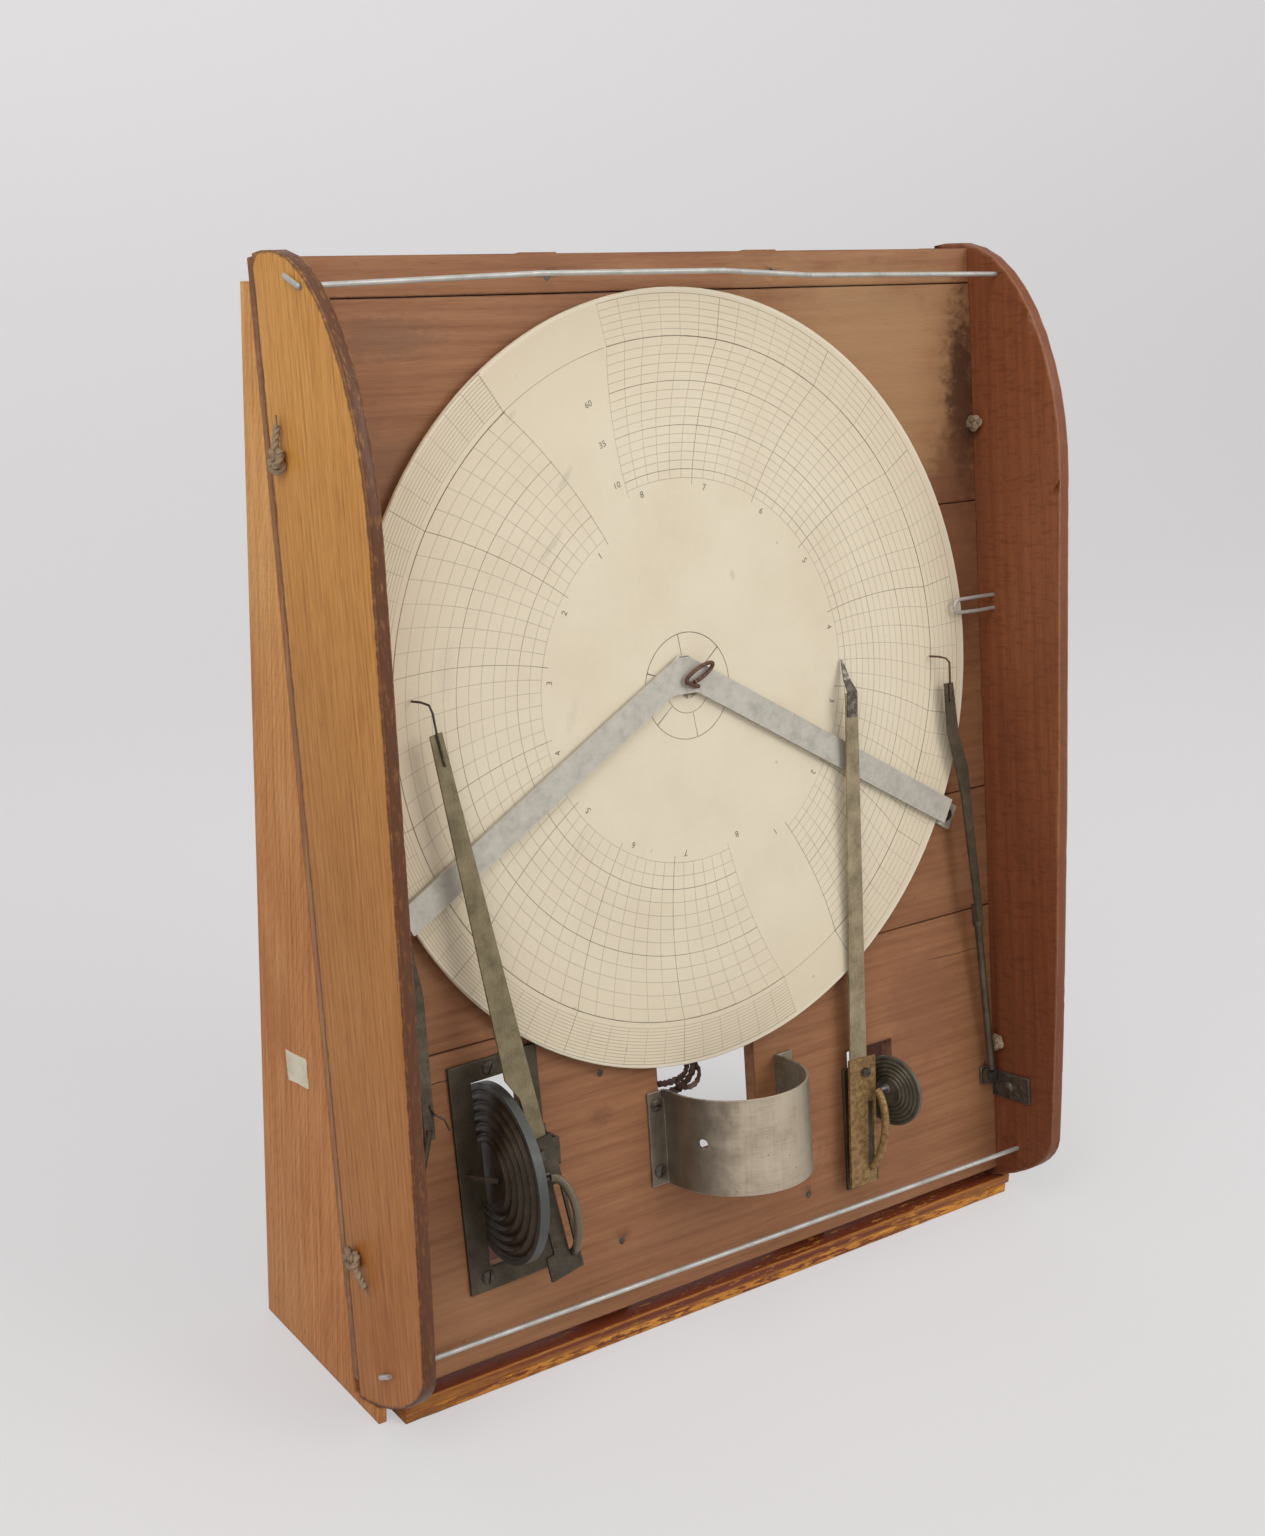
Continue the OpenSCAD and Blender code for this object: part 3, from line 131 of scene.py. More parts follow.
class Graph:
    def __init__(self, tree):
        self.tree = tree

    def node(self, kind, settings=None, inputs=None, out=0):
        made = self.tree.nodes.new(kind)
        for key, value in (settings or {}).items():
            if key == "stops":
                ramp = made.color_ramp
                while len(ramp.elements) < len(value):
                    ramp.elements.new(0.5)
                for element, (at, tint) in zip(ramp.elements, value):
                    element.position, element.color = at, (*tint, 1)
            else:
                setattr(made, key, value)
        for key, value in (inputs or {}).items():
            if isinstance(value, Sock):
                self.tree.links.new(value.raw, made.inputs[key])
            elif value is not None:
                made.inputs[key].default_value = value
        return Sock(self, made.outputs[out]) if len(made.outputs) else made

    def at(self, spot):
        return spot if isinstance(spot, Sock) else self.vector(*spot)

    def noise(self, at, size, detail, rough):
        return self.node("ShaderNodeTexNoise", None, {"Vector": self.at(at), "Scale": 1/size, "Detail": detail,
                "Roughness": rough})

    def cells(self, at, size):
        return self.node("ShaderNodeTexVoronoi", None, {"Vector": self.at(at), "Scale": 1/size})

    def geo(self, kind, inputs=None, settings=None, out=0):
        return self.node("GeometryNode" + kind, settings, inputs, out)

    def spot(self):
        return self.node("ShaderNodeTexCoord", None, None, 3)

    def part(self, spot, axis):
        return self.node("ShaderNodeSeparateXYZ", None, {0: spot}, axis)

    def vectors(self, operation, first, second=None):
        out = 0 if operation == "SUBTRACT" else 1
        return self.node("ShaderNodeVectorMath", {"operation": operation}, {0: first, 1: second}, out)

    def vector(self, x, y, z):
        return self.node("ShaderNodeCombineXYZ", None, {0: x, 1: y, 2: z})

    def step(self, value, low, high, start=0, end=1):
        return self.node("ShaderNodeMapRange", {"interpolation_type": "SMOOTHSTEP"},
                         {0: value, 1: low, 2: high, 3: start, 4: end})

    def ramp(self, value, stops):
        return self.node("ShaderNodeValToRGB", {"stops": stops}, {0: value})

    def mix(self, first, second, amount, how="MIX"):
        tint = lambda c: c if isinstance(c, Sock) else (*c, 1)
        return self.node("ShaderNodeMix", {"data_type": "RGBA", "blend_type": how},
                         {0: amount, 6: tint(first), 7: tint(second)}, 2)

    def attribute(self, name):
        return self.node("ShaderNodeAttribute", {"attribute_name": name}, None, 2)

    # millimetres to the nearest sharp edge, from a piece's own attribute
    def edgeGap(self):
        return (1 - self.attribute("edge"))*8

    def bump(self, height, strength, depth):
        return self.node("ShaderNodeBump", None, {"Height": height, "Strength": strength, "Distance": depth})

    # x, s and w in millimetres
    def boardAxes(self):
        spot = self.vectors("SUBTRACT", self.spot(), (0, frameY/1000, 0))
        return [self.vectors("DOT_PRODUCT", spot, axis*1000) for axis in (toRight, upBoard, outBoard)]

    def plainAxes(self):
        spot = self.spot()
        return [self.vectors("DOT_PRODUCT", spot, axis) for axis in ((1000, 0, 0), (0, 1000, 0), (0, 0, 1000))]


def newFinish(name):
    made = bpy.data.materials.new(name)
    made.use_nodes = True
    graph = Graph(made.node_tree)
    return made, graph, made.node_tree.nodes["Principled BSDF"]


def connect(graph, shader, **links):
    names = {"color": "Base Color", "rough": "Roughness", "metal": "Metallic", "coat": "Coat Weight",
             "normal": "Normal",
             "coatRough": "Coat Roughness", "gloss": "Specular IOR Level", "brushed": "Anisotropic"}
    for key, value in links.items():
        socket = shader.inputs[names[key]]
        if isinstance(value, Sock):
            graph.tree.links.new(value.raw, socket)
        else:
            socket.default_value = (*value, 1) if isinstance(value, tuple) else value


# ---- finishes
def woodFinish(name, look):
    made, g, shader = newFinish(name)
    axes = g.boardAxes() if look.get("board", True) else g.plainAxes()
    along, across, through = (axes[k] for k in look["grain"])
    seed = look.get("seed", 0)
    light, middle, dark = look["tints"]
    slow = g.noise((along*0.12 + seed, across, through), 26, 2, 0.5)
    drift = g.noise((along*0.5, across + seed, through), 70, 1, 0.5)
    tilt = look.get("tilt", 0)
    rings = (((across + along*tilt) + slow*look["sway"] + through*0.35)*(fullTurn/look["ring"])).sine()*0.5 + 0.5
    rings = rings**1.6
    streak = g.noise((along*0.035, across + seed, through), look["streak"], 4, 0.62)
    fine = g.noise((along*0.06, across, through + seed), 0.45, 2, 0.5)
    blotch = g.noise((along*0.5 + seed, across, through), look.get("blotch", 34), 3, 0.6)
    depth = (streak - 0.5)*look.get("streakDepth", 1.5) + rings*look["ringDepth"] + (fine
            - 0.5)*look.get("fineDepth", 0.5) + 0.42
    tint = g.ramp(depth, [(0.0, light), (0.5, middle), (1.0, dark)])
    tint = g.mix(tint, look["stain"], g.step(blotch, 0.48, 0.72, 0, look.get("blotchDepth", 0.4)))
    tint = g.mix(tint, look.get("bloom", light), g.step(drift, 0.5, 0.75, 0, look.get("bloomDepth", 0.25)))
    if "flakes" in look:  # short cross figure
        flake = g.noise((along*1.2, across*0.25, through*0.25), 1.6, 2, 0.5)
        tint = g.mix(tint, dark, g.step(flake, 0.52, 0.66, 0, look["flakes"]))
    pores = g.step(g.noise((along*0.09, across, through), 0.7, 1, 0.5), 0.66, 0.74)
    tint = g.mix(tint, dark, pores*look.get("pores", 0.35))
    specks = g.step(g.cells((along, across, through), 9), 0.05, 0.09, 1, 0)
    tint = g.mix(tint, dark, specks*g.step(drift, 0.42, 0.6, 0.05, 0.55))
    edge = g.edgeGap()
    rag = g.noise((along, across, through), 2.6, 4, 0.65)
    worn = g.step(edge - rag*look["wearWidth"]*1.8, -look["wearWidth"]*0.9, look["wearWidth"]*0.25, 1, 0)
    tint = g.mix(tint, look["wear"], worn*look["wearDepth"])
    for extra in look.get("extras", ()):
        tint = extra(g, axes, tint)
    height = (fine - 0.5)*0.35 - pores*0.5 + (streak - 0.5)*0.4 - worn*rag*1.4
    connect(g, shader, color=tint, rough=g.step(streak + blotch, 0.6, 1.4, look["rough"] - 0.06,
            look["rough"] + 0.1),
            normal=g.bump(height, 0.5, 0.0003), coat=look.get("coat", 0.0),
            coatRough=0.35, gloss=look.get("gloss", 0.35))
    return made


# A soft dark or pale patch at a place on the board; a crack is one with a thin line
def patch(spot, size, tint, depth, rag=0.9):
    def add(g, axes, colour):
        x, s, w = axes
        away = (((x - spot[0])/size[0])**2 + ((s - spot[1])/size[1])**2)**0.5
        loose = g.noise((x, s*1.3, w), min(size)*0.45, 4, 0.62)
        front = g.step(w, -4, -2)
        return g.mix(colour, tint, g.step(away + (loose - 0.5)*rag*2, 0.35, 1.15, depth, 0)*front)
    return add


def crack(start, end, width, tint=(0.02, 0.01, 0.006), depth=0.9):
    def add(g, axes, colour):
        x, s, w = axes
        length = math.dist(start, end)
        ux, us = (end[0] - start[0])/length, (end[1] - start[1])/length
        u = (x - start[0])*ux + (s - start[1])*us
        v = (s - start[1])*ux - (x - start[0])*us
        wave = (g.noise((x, s, w), 22, 3, 0.6) - 0.5)*3.4*(u*(length - u)/(length*length)*4).highest(0)
        inside = g.step(u, 0, 5)*g.step(u, length - 12, length, 1, 0)
        thin = g.step(abs(v + wave), 0, width, 1, 0)
        return g.mix(colour, tint, thin*inside*depth)
    return add


# Painted shade that grows towards the foot, or with a negative depth painted light that grows towards the top; tint
# is a factor
def paintedLightFalloff(low, high, tint, depth, axis=1):
    def add(g, axes, colour):
        height = axes[axis] + (g.noise(g.vector(*axes), 60, 2, 0.5) - 0.5)*90
        share = g.step(height, low, high, depth, 0) if depth > 0 else g.step(height, low, high, 0, -depth)
        return g.mix(colour, tint, share, "MULTIPLY")
    return add


# Worn front edge of a cheek, between its two faces
def rimTone(side, tint, depth):
    def add(g, axes, colour):
        x, s, w = axes
        across = x*side
        inside = g.step(across, 162.7, 163.3)*g.step(across, 167.1, 167.6, 1, 0)
        rag = g.noise((x, s*0.3, w*0.3), 1.7, 4, 0.65)
        return g.mix(colour, tint, inside*g.step(rag, 0.5, 0.72, depth, depth*0.72))
    return add


# Patches on the board: the dark ones beside the cheeks, at x 148 to 156, at (118, 100) and at (-140, 352), are
# painted shade; the other patches are stains and fading, and the cracks are splits
boardMarksAndShade = [patch(*mark) for mark in (
    ((95, 375), (95, 60), (0.4, 0.235, 0.105), 0.55), ((156, 362), (12, 46), (0.06, 0.022, 0.01), 0.85),
    ((148, 330), (16, 22), (0.13, 0.05, 0.022), 0.5), ((-128, 398), (26, 9), (0.18, 0.09, 0.05), 0.5),
    ((150, 300), (20, 60), (0.19, 0.075, 0.035), 0.6), ((-140, 352), (26, 20), (0.2, 0.1, 0.055), 0.55),
    ((118, 100), (22, 34), (0.22, 0.085, 0.042), 0.5), ((-20, 36), (60, 10), (0.24, 0.1, 0.05), 0.35),
    ((-60, 96), (7, 5), (0.16, 0.06, 0.03), 0.5), ((30, 50), (34, 9), (0.46, 0.23, 0.12), 0.4))]
boardMarksAndShade += [crack((-150, 126), (-120, 129), 0.5),
               crack((160, 120), (118, 121), 0.5, (0.03, 0.014, 0.008), 0.7)]
woods = dict(
    board=dict(grain=(0, 1, 2), ring=9.0, sway=26, ringDepth=0.16, streak=2.2, streakDepth=1.0,
         tints=((0.385, 0.18, 0.08), (0.29, 0.124, 0.053), (0.17, 0.065, 0.027)), stain=(0.187, 0.076, 0.034),
         blotchDepth=0.35, blotch=46, wear=(0.11, 0.045, 0.022), bloom=(0.4, 0.21, 0.1), bloomDepth=0.4,
         wearWidth=0.5, wearDepth=0.55, rough=0.6, pores=0.2, extras=boardMarksAndShade),
    cheekLeft=dict(grain=(1, 2, 0), ring=3.1, sway=9, ringDepth=0.13, streak=1.3, streakDepth=1.5, fineDepth=1.0,
         tints=((0.57, 0.26, 0.058), (0.48, 0.198, 0.038), (0.29, 0.1, 0.018)), stain=(0.36, 0.125, 0.025),
         blotchDepth=0.35, wear=(0.085, 0.028, 0.011), bloom=(0.61, 0.3, 0.08), bloomDepth=0.3, wearWidth=1.2,
         # left cheek: painted shade towards its foot and painted light towards its top, besides its worn front edge
         wearDepth=0.9, rough=0.46, coat=0.03, gloss=0.3, extras=(paintedLightFalloff(10, 300, (0.78, 0.62, 0.6), 0.8),
         paintedLightFalloff(200, 420, (1.45, 1.62, 1.75), -0.85), rimTone(-1, (0.095, 0.032, 0.013), 0.97))),
    cheekRight=dict(grain=(1, 2, 0), ring=7.0, sway=10, ringDepth=0.14, streak=1.8, streakDepth=0.8,
         tints=((0.315, 0.105, 0.04), (0.235, 0.07, 0.026), (0.13, 0.036, 0.013)), stain=(0.15, 0.045, 0.017),
         blotchDepth=0.4, wear=(0.42, 0.2, 0.09), flakes=0.4, bloom=(0.34, 0.12, 0.048), wearWidth=0.9,
         # right cheek and right side panel: painted shade towards the foot, besides the worn front edge
         wearDepth=0.5, rough=0.5, seed=31, coat=0.03, extras=(paintedLightFalloff(20, 260, (0.5, 0.42, 0.4), 0.5), rimTone(1,
         (0.17, 0.05, 0.019), 0.5))),
    panelLeft=dict(grain=(2, 1, 0), board=False, tilt=0.45, ring=3.4, sway=22, ringDepth=0.1, streak=1.7,
         streakDepth=1.5, tints=((0.64, 0.3, 0.098), (0.5, 0.19, 0.05), (0.28, 0.085, 0.022)),
         stain=(0.37, 0.12, 0.034), blotchDepth=0.45, wear=(0.22, 0.08, 0.03), flakes=0.1, bloom=(0.66, 0.36, 0.14),
         # left side panel: painted light towards its top
         wearWidth=0.6, wearDepth=0.5, rough=0.5, seed=7, gloss=0.28, extras=(paintedLightFalloff(160, 430, (1.5, 1.95, 2.2),
         -0.9, 2),)),
    frameWood=dict(grain=(2, 0, 1), board=False, ring=4.2, sway=10, ringDepth=0.2, streak=1.7,
         tints=((0.5, 0.25, 0.11), (0.36, 0.155, 0.062), (0.21, 0.08, 0.03)), stain=(0.24, 0.1, 0.045),
         wear=(0.12, 0.05, 0.022), wearWidth=0.7, wearDepth=0.6, rough=0.6, seed=15),
)


# Dark red paint worn off the orange wood beneath
def paintedFinish(name, bare, seed):
    made, g, shader = newFinish(name)
    x, y, z = g.plainAxes()
    grainy = g.noise((x*0.05, y*0.7, z*2.2 + seed), 1.5, 4, 0.65)
    cover = g.noise((x*0.2, y + seed, z*1.2), 1.8, 5, 0.7)
    broad = g.noise((x*0.2 + seed, y*0.4, z), 30, 2, 0.5)
    wood = g.ramp(grainy, [(0.2, (0.78, 0.37, 0.07)), (0.55, (0.58, 0.23, 0.035)), (0.85, (0.24, 0.06, 0.012))])
    paint = g.ramp(cover, [(0.25, (0.21, 0.046, 0.016)), (0.75, (0.095, 0.02, 0.008))])
    gone = g.step(cover + (broad - 0.5)*0.35 + (grainy - 0.5)*0.4, 0.60 - bare, 0.70 - bare, 0, 1)
    rub = g.step(g.edgeGap() - cover*1.6, -0.9, 0.3, 0.6, 0)
    tint = g.mix(paint, wood, gone.highest(rub))
    height = gone*-0.6 + (grainy - 0.5)*0.5
    connect(g, shader, color=tint, rough=g.step(gone, 0, 1, 0.46, 0.62), normal=g.bump(height, 0.5, 0.0004),
            gloss=0.25)
    return made


def metalFinish(name, look):
    made, g, shader = newFinish(name)
    axes = g.boardAxes()
    x, s, w = axes
    spot = g.vector(x, s, w)
    light, middle, dark = look["tints"]
    cloud = g.noise(spot, look["cloud"], 4, 0.6)
    grit = g.noise(spot, look.get("grit", 0.8), 3, 0.6)
    a, b, c = look.get("brush", (1, 1, 1))
    lines = g.noise((x*a, s*b, w*c), 0.5, 2, 0.6)
    tint = g.ramp(cloud + (grit - 0.5)*look.get("gritDepth", 0.35) + (lines - 0.5)*look.get("brushDepth", 0.2),
                  [(0.25, dark), (0.5, middle), (0.75, light)])
    if "rust" in look:
        rusty = g.step(g.noise(spot, 4, 5, 0.7), look.get("rustAt", 0.56), look.get("rustAt", 0.56) + 0.1)
        tint = g.mix(tint, look["rust"], rusty*look.get("rustDepth", 0.8))
        shine = look["metal"]*(1 - rusty*0.7)
    else:
        shine = g.step(cloud, 0.2, 0.8, look["metal"], look["metal"]*0.9)
    dots = g.step(g.cells(spot, 6), 0.04, 0.1, 1, 0)
    tint = g.mix(tint, dark, dots*0.6)
    if look.get("worn"):
        tint = g.mix(tint, light, g.step(g.edgeGap() - grit*0.8, -0.35, 0.1, look["worn"], 0))
    for extra in look.get("extras", ()):
        tint = extra(g, axes, tint)
    height = (lines - 0.5)*look.get("brushDepth", 0.2)*2 + (grit - 0.5)*look.get("pitting", 0.5) + (cloud - 0.5)*0.6
    connect(g, shader, color=tint, metal=shine, normal=g.bump(height, 0.4, 0.00012),
            rough=g.step(cloud + (grit - 0.5)*0.5, 0.25, 0.75, look["rough"] + 0.08, look["rough"] - 0.08))
    return made


# The bowed tongue, where it stands more than 22 mm off the board, is lighter than the plate that it rises from
def bowTone(low, high, tint, depth):
    return lambda g, axes, colour: g.mix(colour, tint, g.step(axes[2], low, high, 0, depth))


metals = dict(
    aluminium=dict(tints=((0.6, 0.565, 0.49), (0.52, 0.488, 0.42), (0.41, 0.385, 0.33)), metal=0.5, rough=0.5,
         cloud=5, grit=0.6, gritDepth=0.22, worn=0.5),
    olive=dict(tints=((0.275, 0.222, 0.122), (0.205, 0.163, 0.088), (0.118, 0.093, 0.048)), metal=0.4, rough=0.52,
         cloud=9, brush=(0.9, 0.05, 1), brushDepth=0.25, worn=0.5),
    oliveLight=dict(tints=((0.42, 0.34, 0.21), (0.31, 0.248, 0.15), (0.18, 0.14, 0.08)), metal=0.4, rough=0.5,
         cloud=9, brush=(0.9, 0.05, 1), brushDepth=0.25, worn=0.4),
    darkPlate=dict(tints=((0.1, 0.075, 0.043), (0.06, 0.044, 0.024), (0.03, 0.021, 0.011)), metal=0.4, rough=0.5,
         cloud=12, worn=0.8),
    leverMetal=dict(tints=((0.105, 0.08, 0.05), (0.066, 0.05, 0.031), (0.032, 0.024, 0.014)), metal=0.4, rough=0.46,
         cloud=6, worn=0.8, extras=(bowTone(22.2, 24, (0.19, 0.152, 0.095), 0.8),)),
    brass=dict(tints=((0.4, 0.25, 0.098), (0.265, 0.157, 0.058), (0.125, 0.07, 0.026)), metal=0.45, rough=0.5,
         cloud=2.2, gritDepth=0.5, worn=0.4),
    clockBrass=dict(tints=((0.62, 0.44, 0.17), (0.5, 0.34, 0.12), (0.3, 0.18, 0.06)), metal=0.9, rough=0.33,
         cloud=9, brush=(0.08, 1.2, 1), brushDepth=0.35),
    japanned=dict(tints=((0.12, 0.1, 0.075), (0.075, 0.06, 0.045), (0.035, 0.028, 0.02)), metal=0.3, rough=0.42,
         cloud=16, worn=0.8, rust=(0.15, 0.06, 0.025), rustAt=0.66, rustDepth=0.6),
    steel=dict(tints=((0.56, 0.55, 0.53), (0.42, 0.41, 0.39), (0.24, 0.23, 0.21)), metal=0.8, rough=0.38, cloud=5,
         brushDepth=0.3),
    wire=dict(tints=((0.56, 0.545, 0.51), (0.48, 0.465, 0.43), (0.36, 0.345, 0.31)), metal=0.45, rough=0.48,
         cloud=9, gritDepth=0.15, rust=(0.24, 0.13, 0.07), rustAt=0.68, rustDepth=0.5),
    darkSteel=dict(tints=((0.15, 0.125, 0.095), (0.075, 0.06, 0.045), (0.03, 0.024, 0.018)), metal=0.5, rough=0.5,
         cloud=3, worn=0.7, rust=(0.16, 0.065, 0.025), rustAt=0.6, rustDepth=0.5),
    rustyWire=dict(tints=((0.2, 0.095, 0.055), (0.115, 0.048, 0.028), (0.045, 0.02, 0.014)), metal=0.35, rough=0.5,
         cloud=1.6, rust=(0.2, 0.075, 0.03), rustAt=0.55, pitting=1.2),
    nib=dict(tints=((0.36, 0.34, 0.3), (0.14, 0.12, 0.095), (0.045, 0.036, 0.026)), metal=0.7, rough=0.34,
         cloud=2.2, worn=0.5),
    blueSpring=dict(tints=((0.16, 0.2, 0.3), (0.08, 0.1, 0.18), (0.04, 0.045, 0.08)), metal=0.9, rough=0.3,
         cloud=6),
    leafMetal=dict(tints=((0.14, 0.11, 0.068), (0.087, 0.066, 0.04), (0.046, 0.034, 0.02)), metal=0.45, rough=0.45,
         cloud=8, worn=0.7, brush=(1, 0.08, 1)),
)


# Tinned strip: scratches round the bend, painted dark reflection on the left, greenish on the right, and lighter
# edges that are worn tin with a painted rim highlight
def tinFinish(name):
    made, g, shader = newFinish(name)
    x, s, w = g.boardAxes()
    spot = g.vector(x, s, w)
    lines = g.noise((x*0.08, s*3.2, w*0.08), 1.1, 5, 0.7)
    upright = g.noise((x*2.2, s*0.03, w*2.2), 1.6, 3, 0.6)
    cloud = g.noise((x, s*0.8, w), 9, 4, 0.6)
    tint = g.ramp(0.25 + cloud*0.5 + (lines - 0.5)*0.5 + (upright - 0.5)*0.2,
                  [(0.25, (0.30, 0.235, 0.165)), (0.5, (0.53, 0.435, 0.325)), (0.75, (0.66, 0.56, 0.43))])
    tint = g.mix(tint, (0.19, 0.18, 0.128), g.step(x + (cloud - 0.5)*26, 2, 26, 0, 0.85))
    # painted dark reflection over the left side of the band
    tint = g.mix(tint, (0.105, 0.085, 0.06), g.step(x + (cloud - 0.5)*12, -27, -14, 0.8, 0))
    mark = g.noise(spot, 5.5, 4, 0.65)
    ring = g.step(abs(mark - 0.56), 0.0, 0.018, 1, 0)*g.step(x, 4, 12)
    tint = g.mix(tint, (0.46, 0.43, 0.36), ring*0.5)
    tint = g.mix(tint, (0.09, 0.06, 0.035), g.step(g.cells(spot, 5), 0.04, 0.09, 0.7, 0))
    # lighter edges: worn tin and a painted rim highlight
    tint = g.mix(tint, (0.5, 0.46, 0.38), g.step(g.edgeGap() - lines*0.6, -0.3, 0.1, 0.5, 0))
    connect(g, shader, color=tint, metal=g.step(cloud, 0.3, 0.7, 0.75, 0.55),
            rough=g.step(lines, 0.3, 0.7, 0.34, 0.5),
            normal=g.bump((lines - 0.5)*0.7 + (upright - 0.5)*0.5, 0.35, 0.0001), brushed=0.3)
    return made


# Capsule metal, darker in its furrows, with a grey rim
def capsuleFinish(name, centre, axis, radius, look):
    made, g, shader = newFinish(name)
    arm = g.vectors("SUBTRACT", g.spot(), centre)
    drop, reach = g.vectors("DOT_PRODUCT", arm, axis), g.vectors("LENGTH", arm)
    radial = ((reach*reach - drop*drop).highest(0)**0.5)*(1/radius)
    mm = g.vector(*g.boardAxes())
    light, middle, dark = look["tints"]
    cloud = g.noise(mm, 6, 4, 0.62)
    grit = g.noise(mm, 0.7, 3, 0.6)
    tint = g.ramp(cloud + (grit - 0.5)*0.4, [(0.25, dark), (0.5, middle), (0.8, light)])
    furrow = (radial - 0.36)/0.57*5
    low = (furrow*fullTurn).sine()*0.5 + 0.5
    tint = g.mix(tint, dark, (1 - low)*g.step(radial, 0.33, 0.4)*g.step(radial, 0.9, 0.95, 0.55, 0))
    tint = g.mix(tint, look["rim"], g.step(radial + (cloud - 0.5)*0.08, 0.93, 0.965, 0, 0.85))
    connect(g, shader, color=tint, metal=0.45, rough=g.step(cloud, 0.3, 0.7, 0.42, 0.58),
            normal=g.bump((grit - 0.5)*0.5 + (cloud - 0.5), 0.35, 0.0001))
    return made


# The chart: two grids of bent hour lines about the print's own centre, and a small centre figure
chartPrint = dict(chart=chartAt, off=(-1.9, 0.25), wind=dict(start=-12.5, hour=22.9, inner=80.5, first=83.9,
    step=3.34, bold=5, edge=134.0, ringStart=134.0, ringStep=2.65, outer=149.9, bend=-4.5),
    rise=dict(start=-198.3, hour=23.3, inner=69.96, first=80.6, step=5.32, bold=5, edge=133.8, ringStart=136.3,
    ringStep=1.31, outer=150.7, bend=4.8))


def paperFinish(name, look):
    made, g, shader = newFinish(name)
    x, s, w = g.boardAxes()
    cx, cs = x - look["chart"][0], s - look["chart"][1]
    px, ps = cx - look["off"][0], cs - look["off"][1]
    sway = g.noise((x, s, 0), 90, 1, 0.5)
    px = px + (sway - 0.5)*1.2
    radius = (px*px + ps*ps)**0.5
    angle = px.sum("ARCTAN2", ps)*perRadian
    spot = g.vector(x, s, w)
    soft = g.noise(spot, 3, 3, 0.6)

    def line(value, width, strength):
        return g.step(abs(value) - (soft - 0.5)*width*0.6, width*0.4, width, strength, 0)

    def every(value, gap, width, strength):  # lines at whole steps of gap
        return line((value/gap + 0.5) % 1 - 0.5, width/gap, strength)

    ink = line(radius - 21, 0.24, 0.75).highest(line(radius - 10.7, 0.22, 0.7)*g.step(ps, -2, -1, 1, 0))
    spoke = every(angle + 10, 60, 0.24*perRadian/15.5, 0.75)*radius.above(11)*(1 - radius.above(21.1))
    ink = ink.highest(spoke)
    blank = 1 - abs((angle + 24.5)/11.5).above(1)*abs((angle - 155)/7).above(1)
    ink = ink.highest(line(radius - 134, 0.2, 0.5)*blank)
    for part in (look["wind"], look["rise"]):
        start, hour, inner, first, gap, heavy, edge, ringStart, ringStep, outer, bend = part.values()
        reach = ((edge - radius)/(edge - inner)).highest(0).lowest(1)
        bent = (1 - (1 - reach)**1.5)*bend
        turned = (angle - bent - start) % 360
        hours = turned/hour
        width = perRadian/(radius + 1)
        inside = 1 - (hours - 7).above(0.012)
        body = radius.above(inner - 0.15)*(1 - radius.above(edge + 0.15))
        ring = radius.above(ringStart - 0.15)*(1 - radius.above(outer + 0.15))
        tails = radius.above(inner - 2.6)*(1 - radius.above(inner))
        minor = every(turned, hour/6, 0.17*width, 0.4)
        bold = every(turned, hour, 0.2*width, 0.62)
        radials = minor.highest(bold)*(body + ring).lowest(1)
        radials = radials.highest(bold*tails).highest(bold*radius.above(inner)*(1 - radius.above(outer)))
        rings = every(radius - first, gap, 0.17, 0.4).highest(
            every(radius - first, gap*heavy, 0.2, 0.62))*body
        rings = rings.highest(every(radius - ringStart, ringStep, 0.17, 0.42)*ring)
        rings = rings.highest(line(radius - edge, 0.27, 0.8)).highest(line(radius - outer, 0.2, 0.55))
        ink = ink.highest(radials.highest(rings)*inside)
    faded = ink*g.step(g.noise(spot, 28, 2, 0.5), 0.3, 0.7, 0.95, 1.35)
    fibre = g.noise(spot, 1.2, 4, 0.65)
    cloud = g.noise(spot, 38, 4, 0.55)
    tint = g.ramp(cloud + (fibre - 0.5)*0.3, [(0.2, (0.69, 0.595, 0.44)), (0.5, (0.74, 0.65, 0.49)),
            (0.8, (0.775, 0.69, 0.53))])
    rim = (cx*cx + cs*cs)**0.5
    tint = g.mix(tint, (0.58, 0.46, 0.30), g.step(rim + (cloud - 0.5)*50, 96, 175, 0, 0.4))
    tint = g.mix(tint, (0.84, 0.79, 0.68), g.step(rim - fibre*0.8, 149.8, 151.4, 0, 0.35))
    spots = g.step(g.cells(spot, 13), 0.035, 0.06, 1, 0)*g.step(cloud, 0.45, 0.6)
    tint = g.mix(tint, (0.36, 0.27, 0.17), spots*0.55)
    for at, size, turn, depth in look["marks"]:
        dx, ds, ca, sa = cx - at[0], cs - at[1], math.cos(turn), math.sin(turn)
        u, v = dx*ca + ds*sa, ds*ca - dx*sa
        far = ((u/size[0])**2 + (v/size[1])**2)**0.5 + (fibre - 0.5)*1.6
        tint = g.mix(tint, (0.32, 0.285, 0.235), g.step(far, 0.3, 1.2, depth*0.5, 0))
    rusty = g.noise(spot, 2.2, 3, 0.6)
    spill = (((cx + 1)/6)**2 + ((cs + 2.4)/2.2)**2)**0.5
    tint = g.mix(tint, (0.13, 0.07, 0.035), g.step(spill + (rusty - 0.5)*2.4, 0.4, 1.1, 0.8, 0))
    tint = g.mix(tint, (0.13, 0.098, 0.06), faded)
    height = (fibre - 0.5)*0.5 + (cloud - 0.5)*2.0 + (sway - 0.5)*3
    connect(g, shader, color=tint, rough=g.step(fibre, 0.3, 0.7, 0.68, 0.8), normal=g.bump(height, 0.25, 0.0006),
            gloss=0.3)
    return made


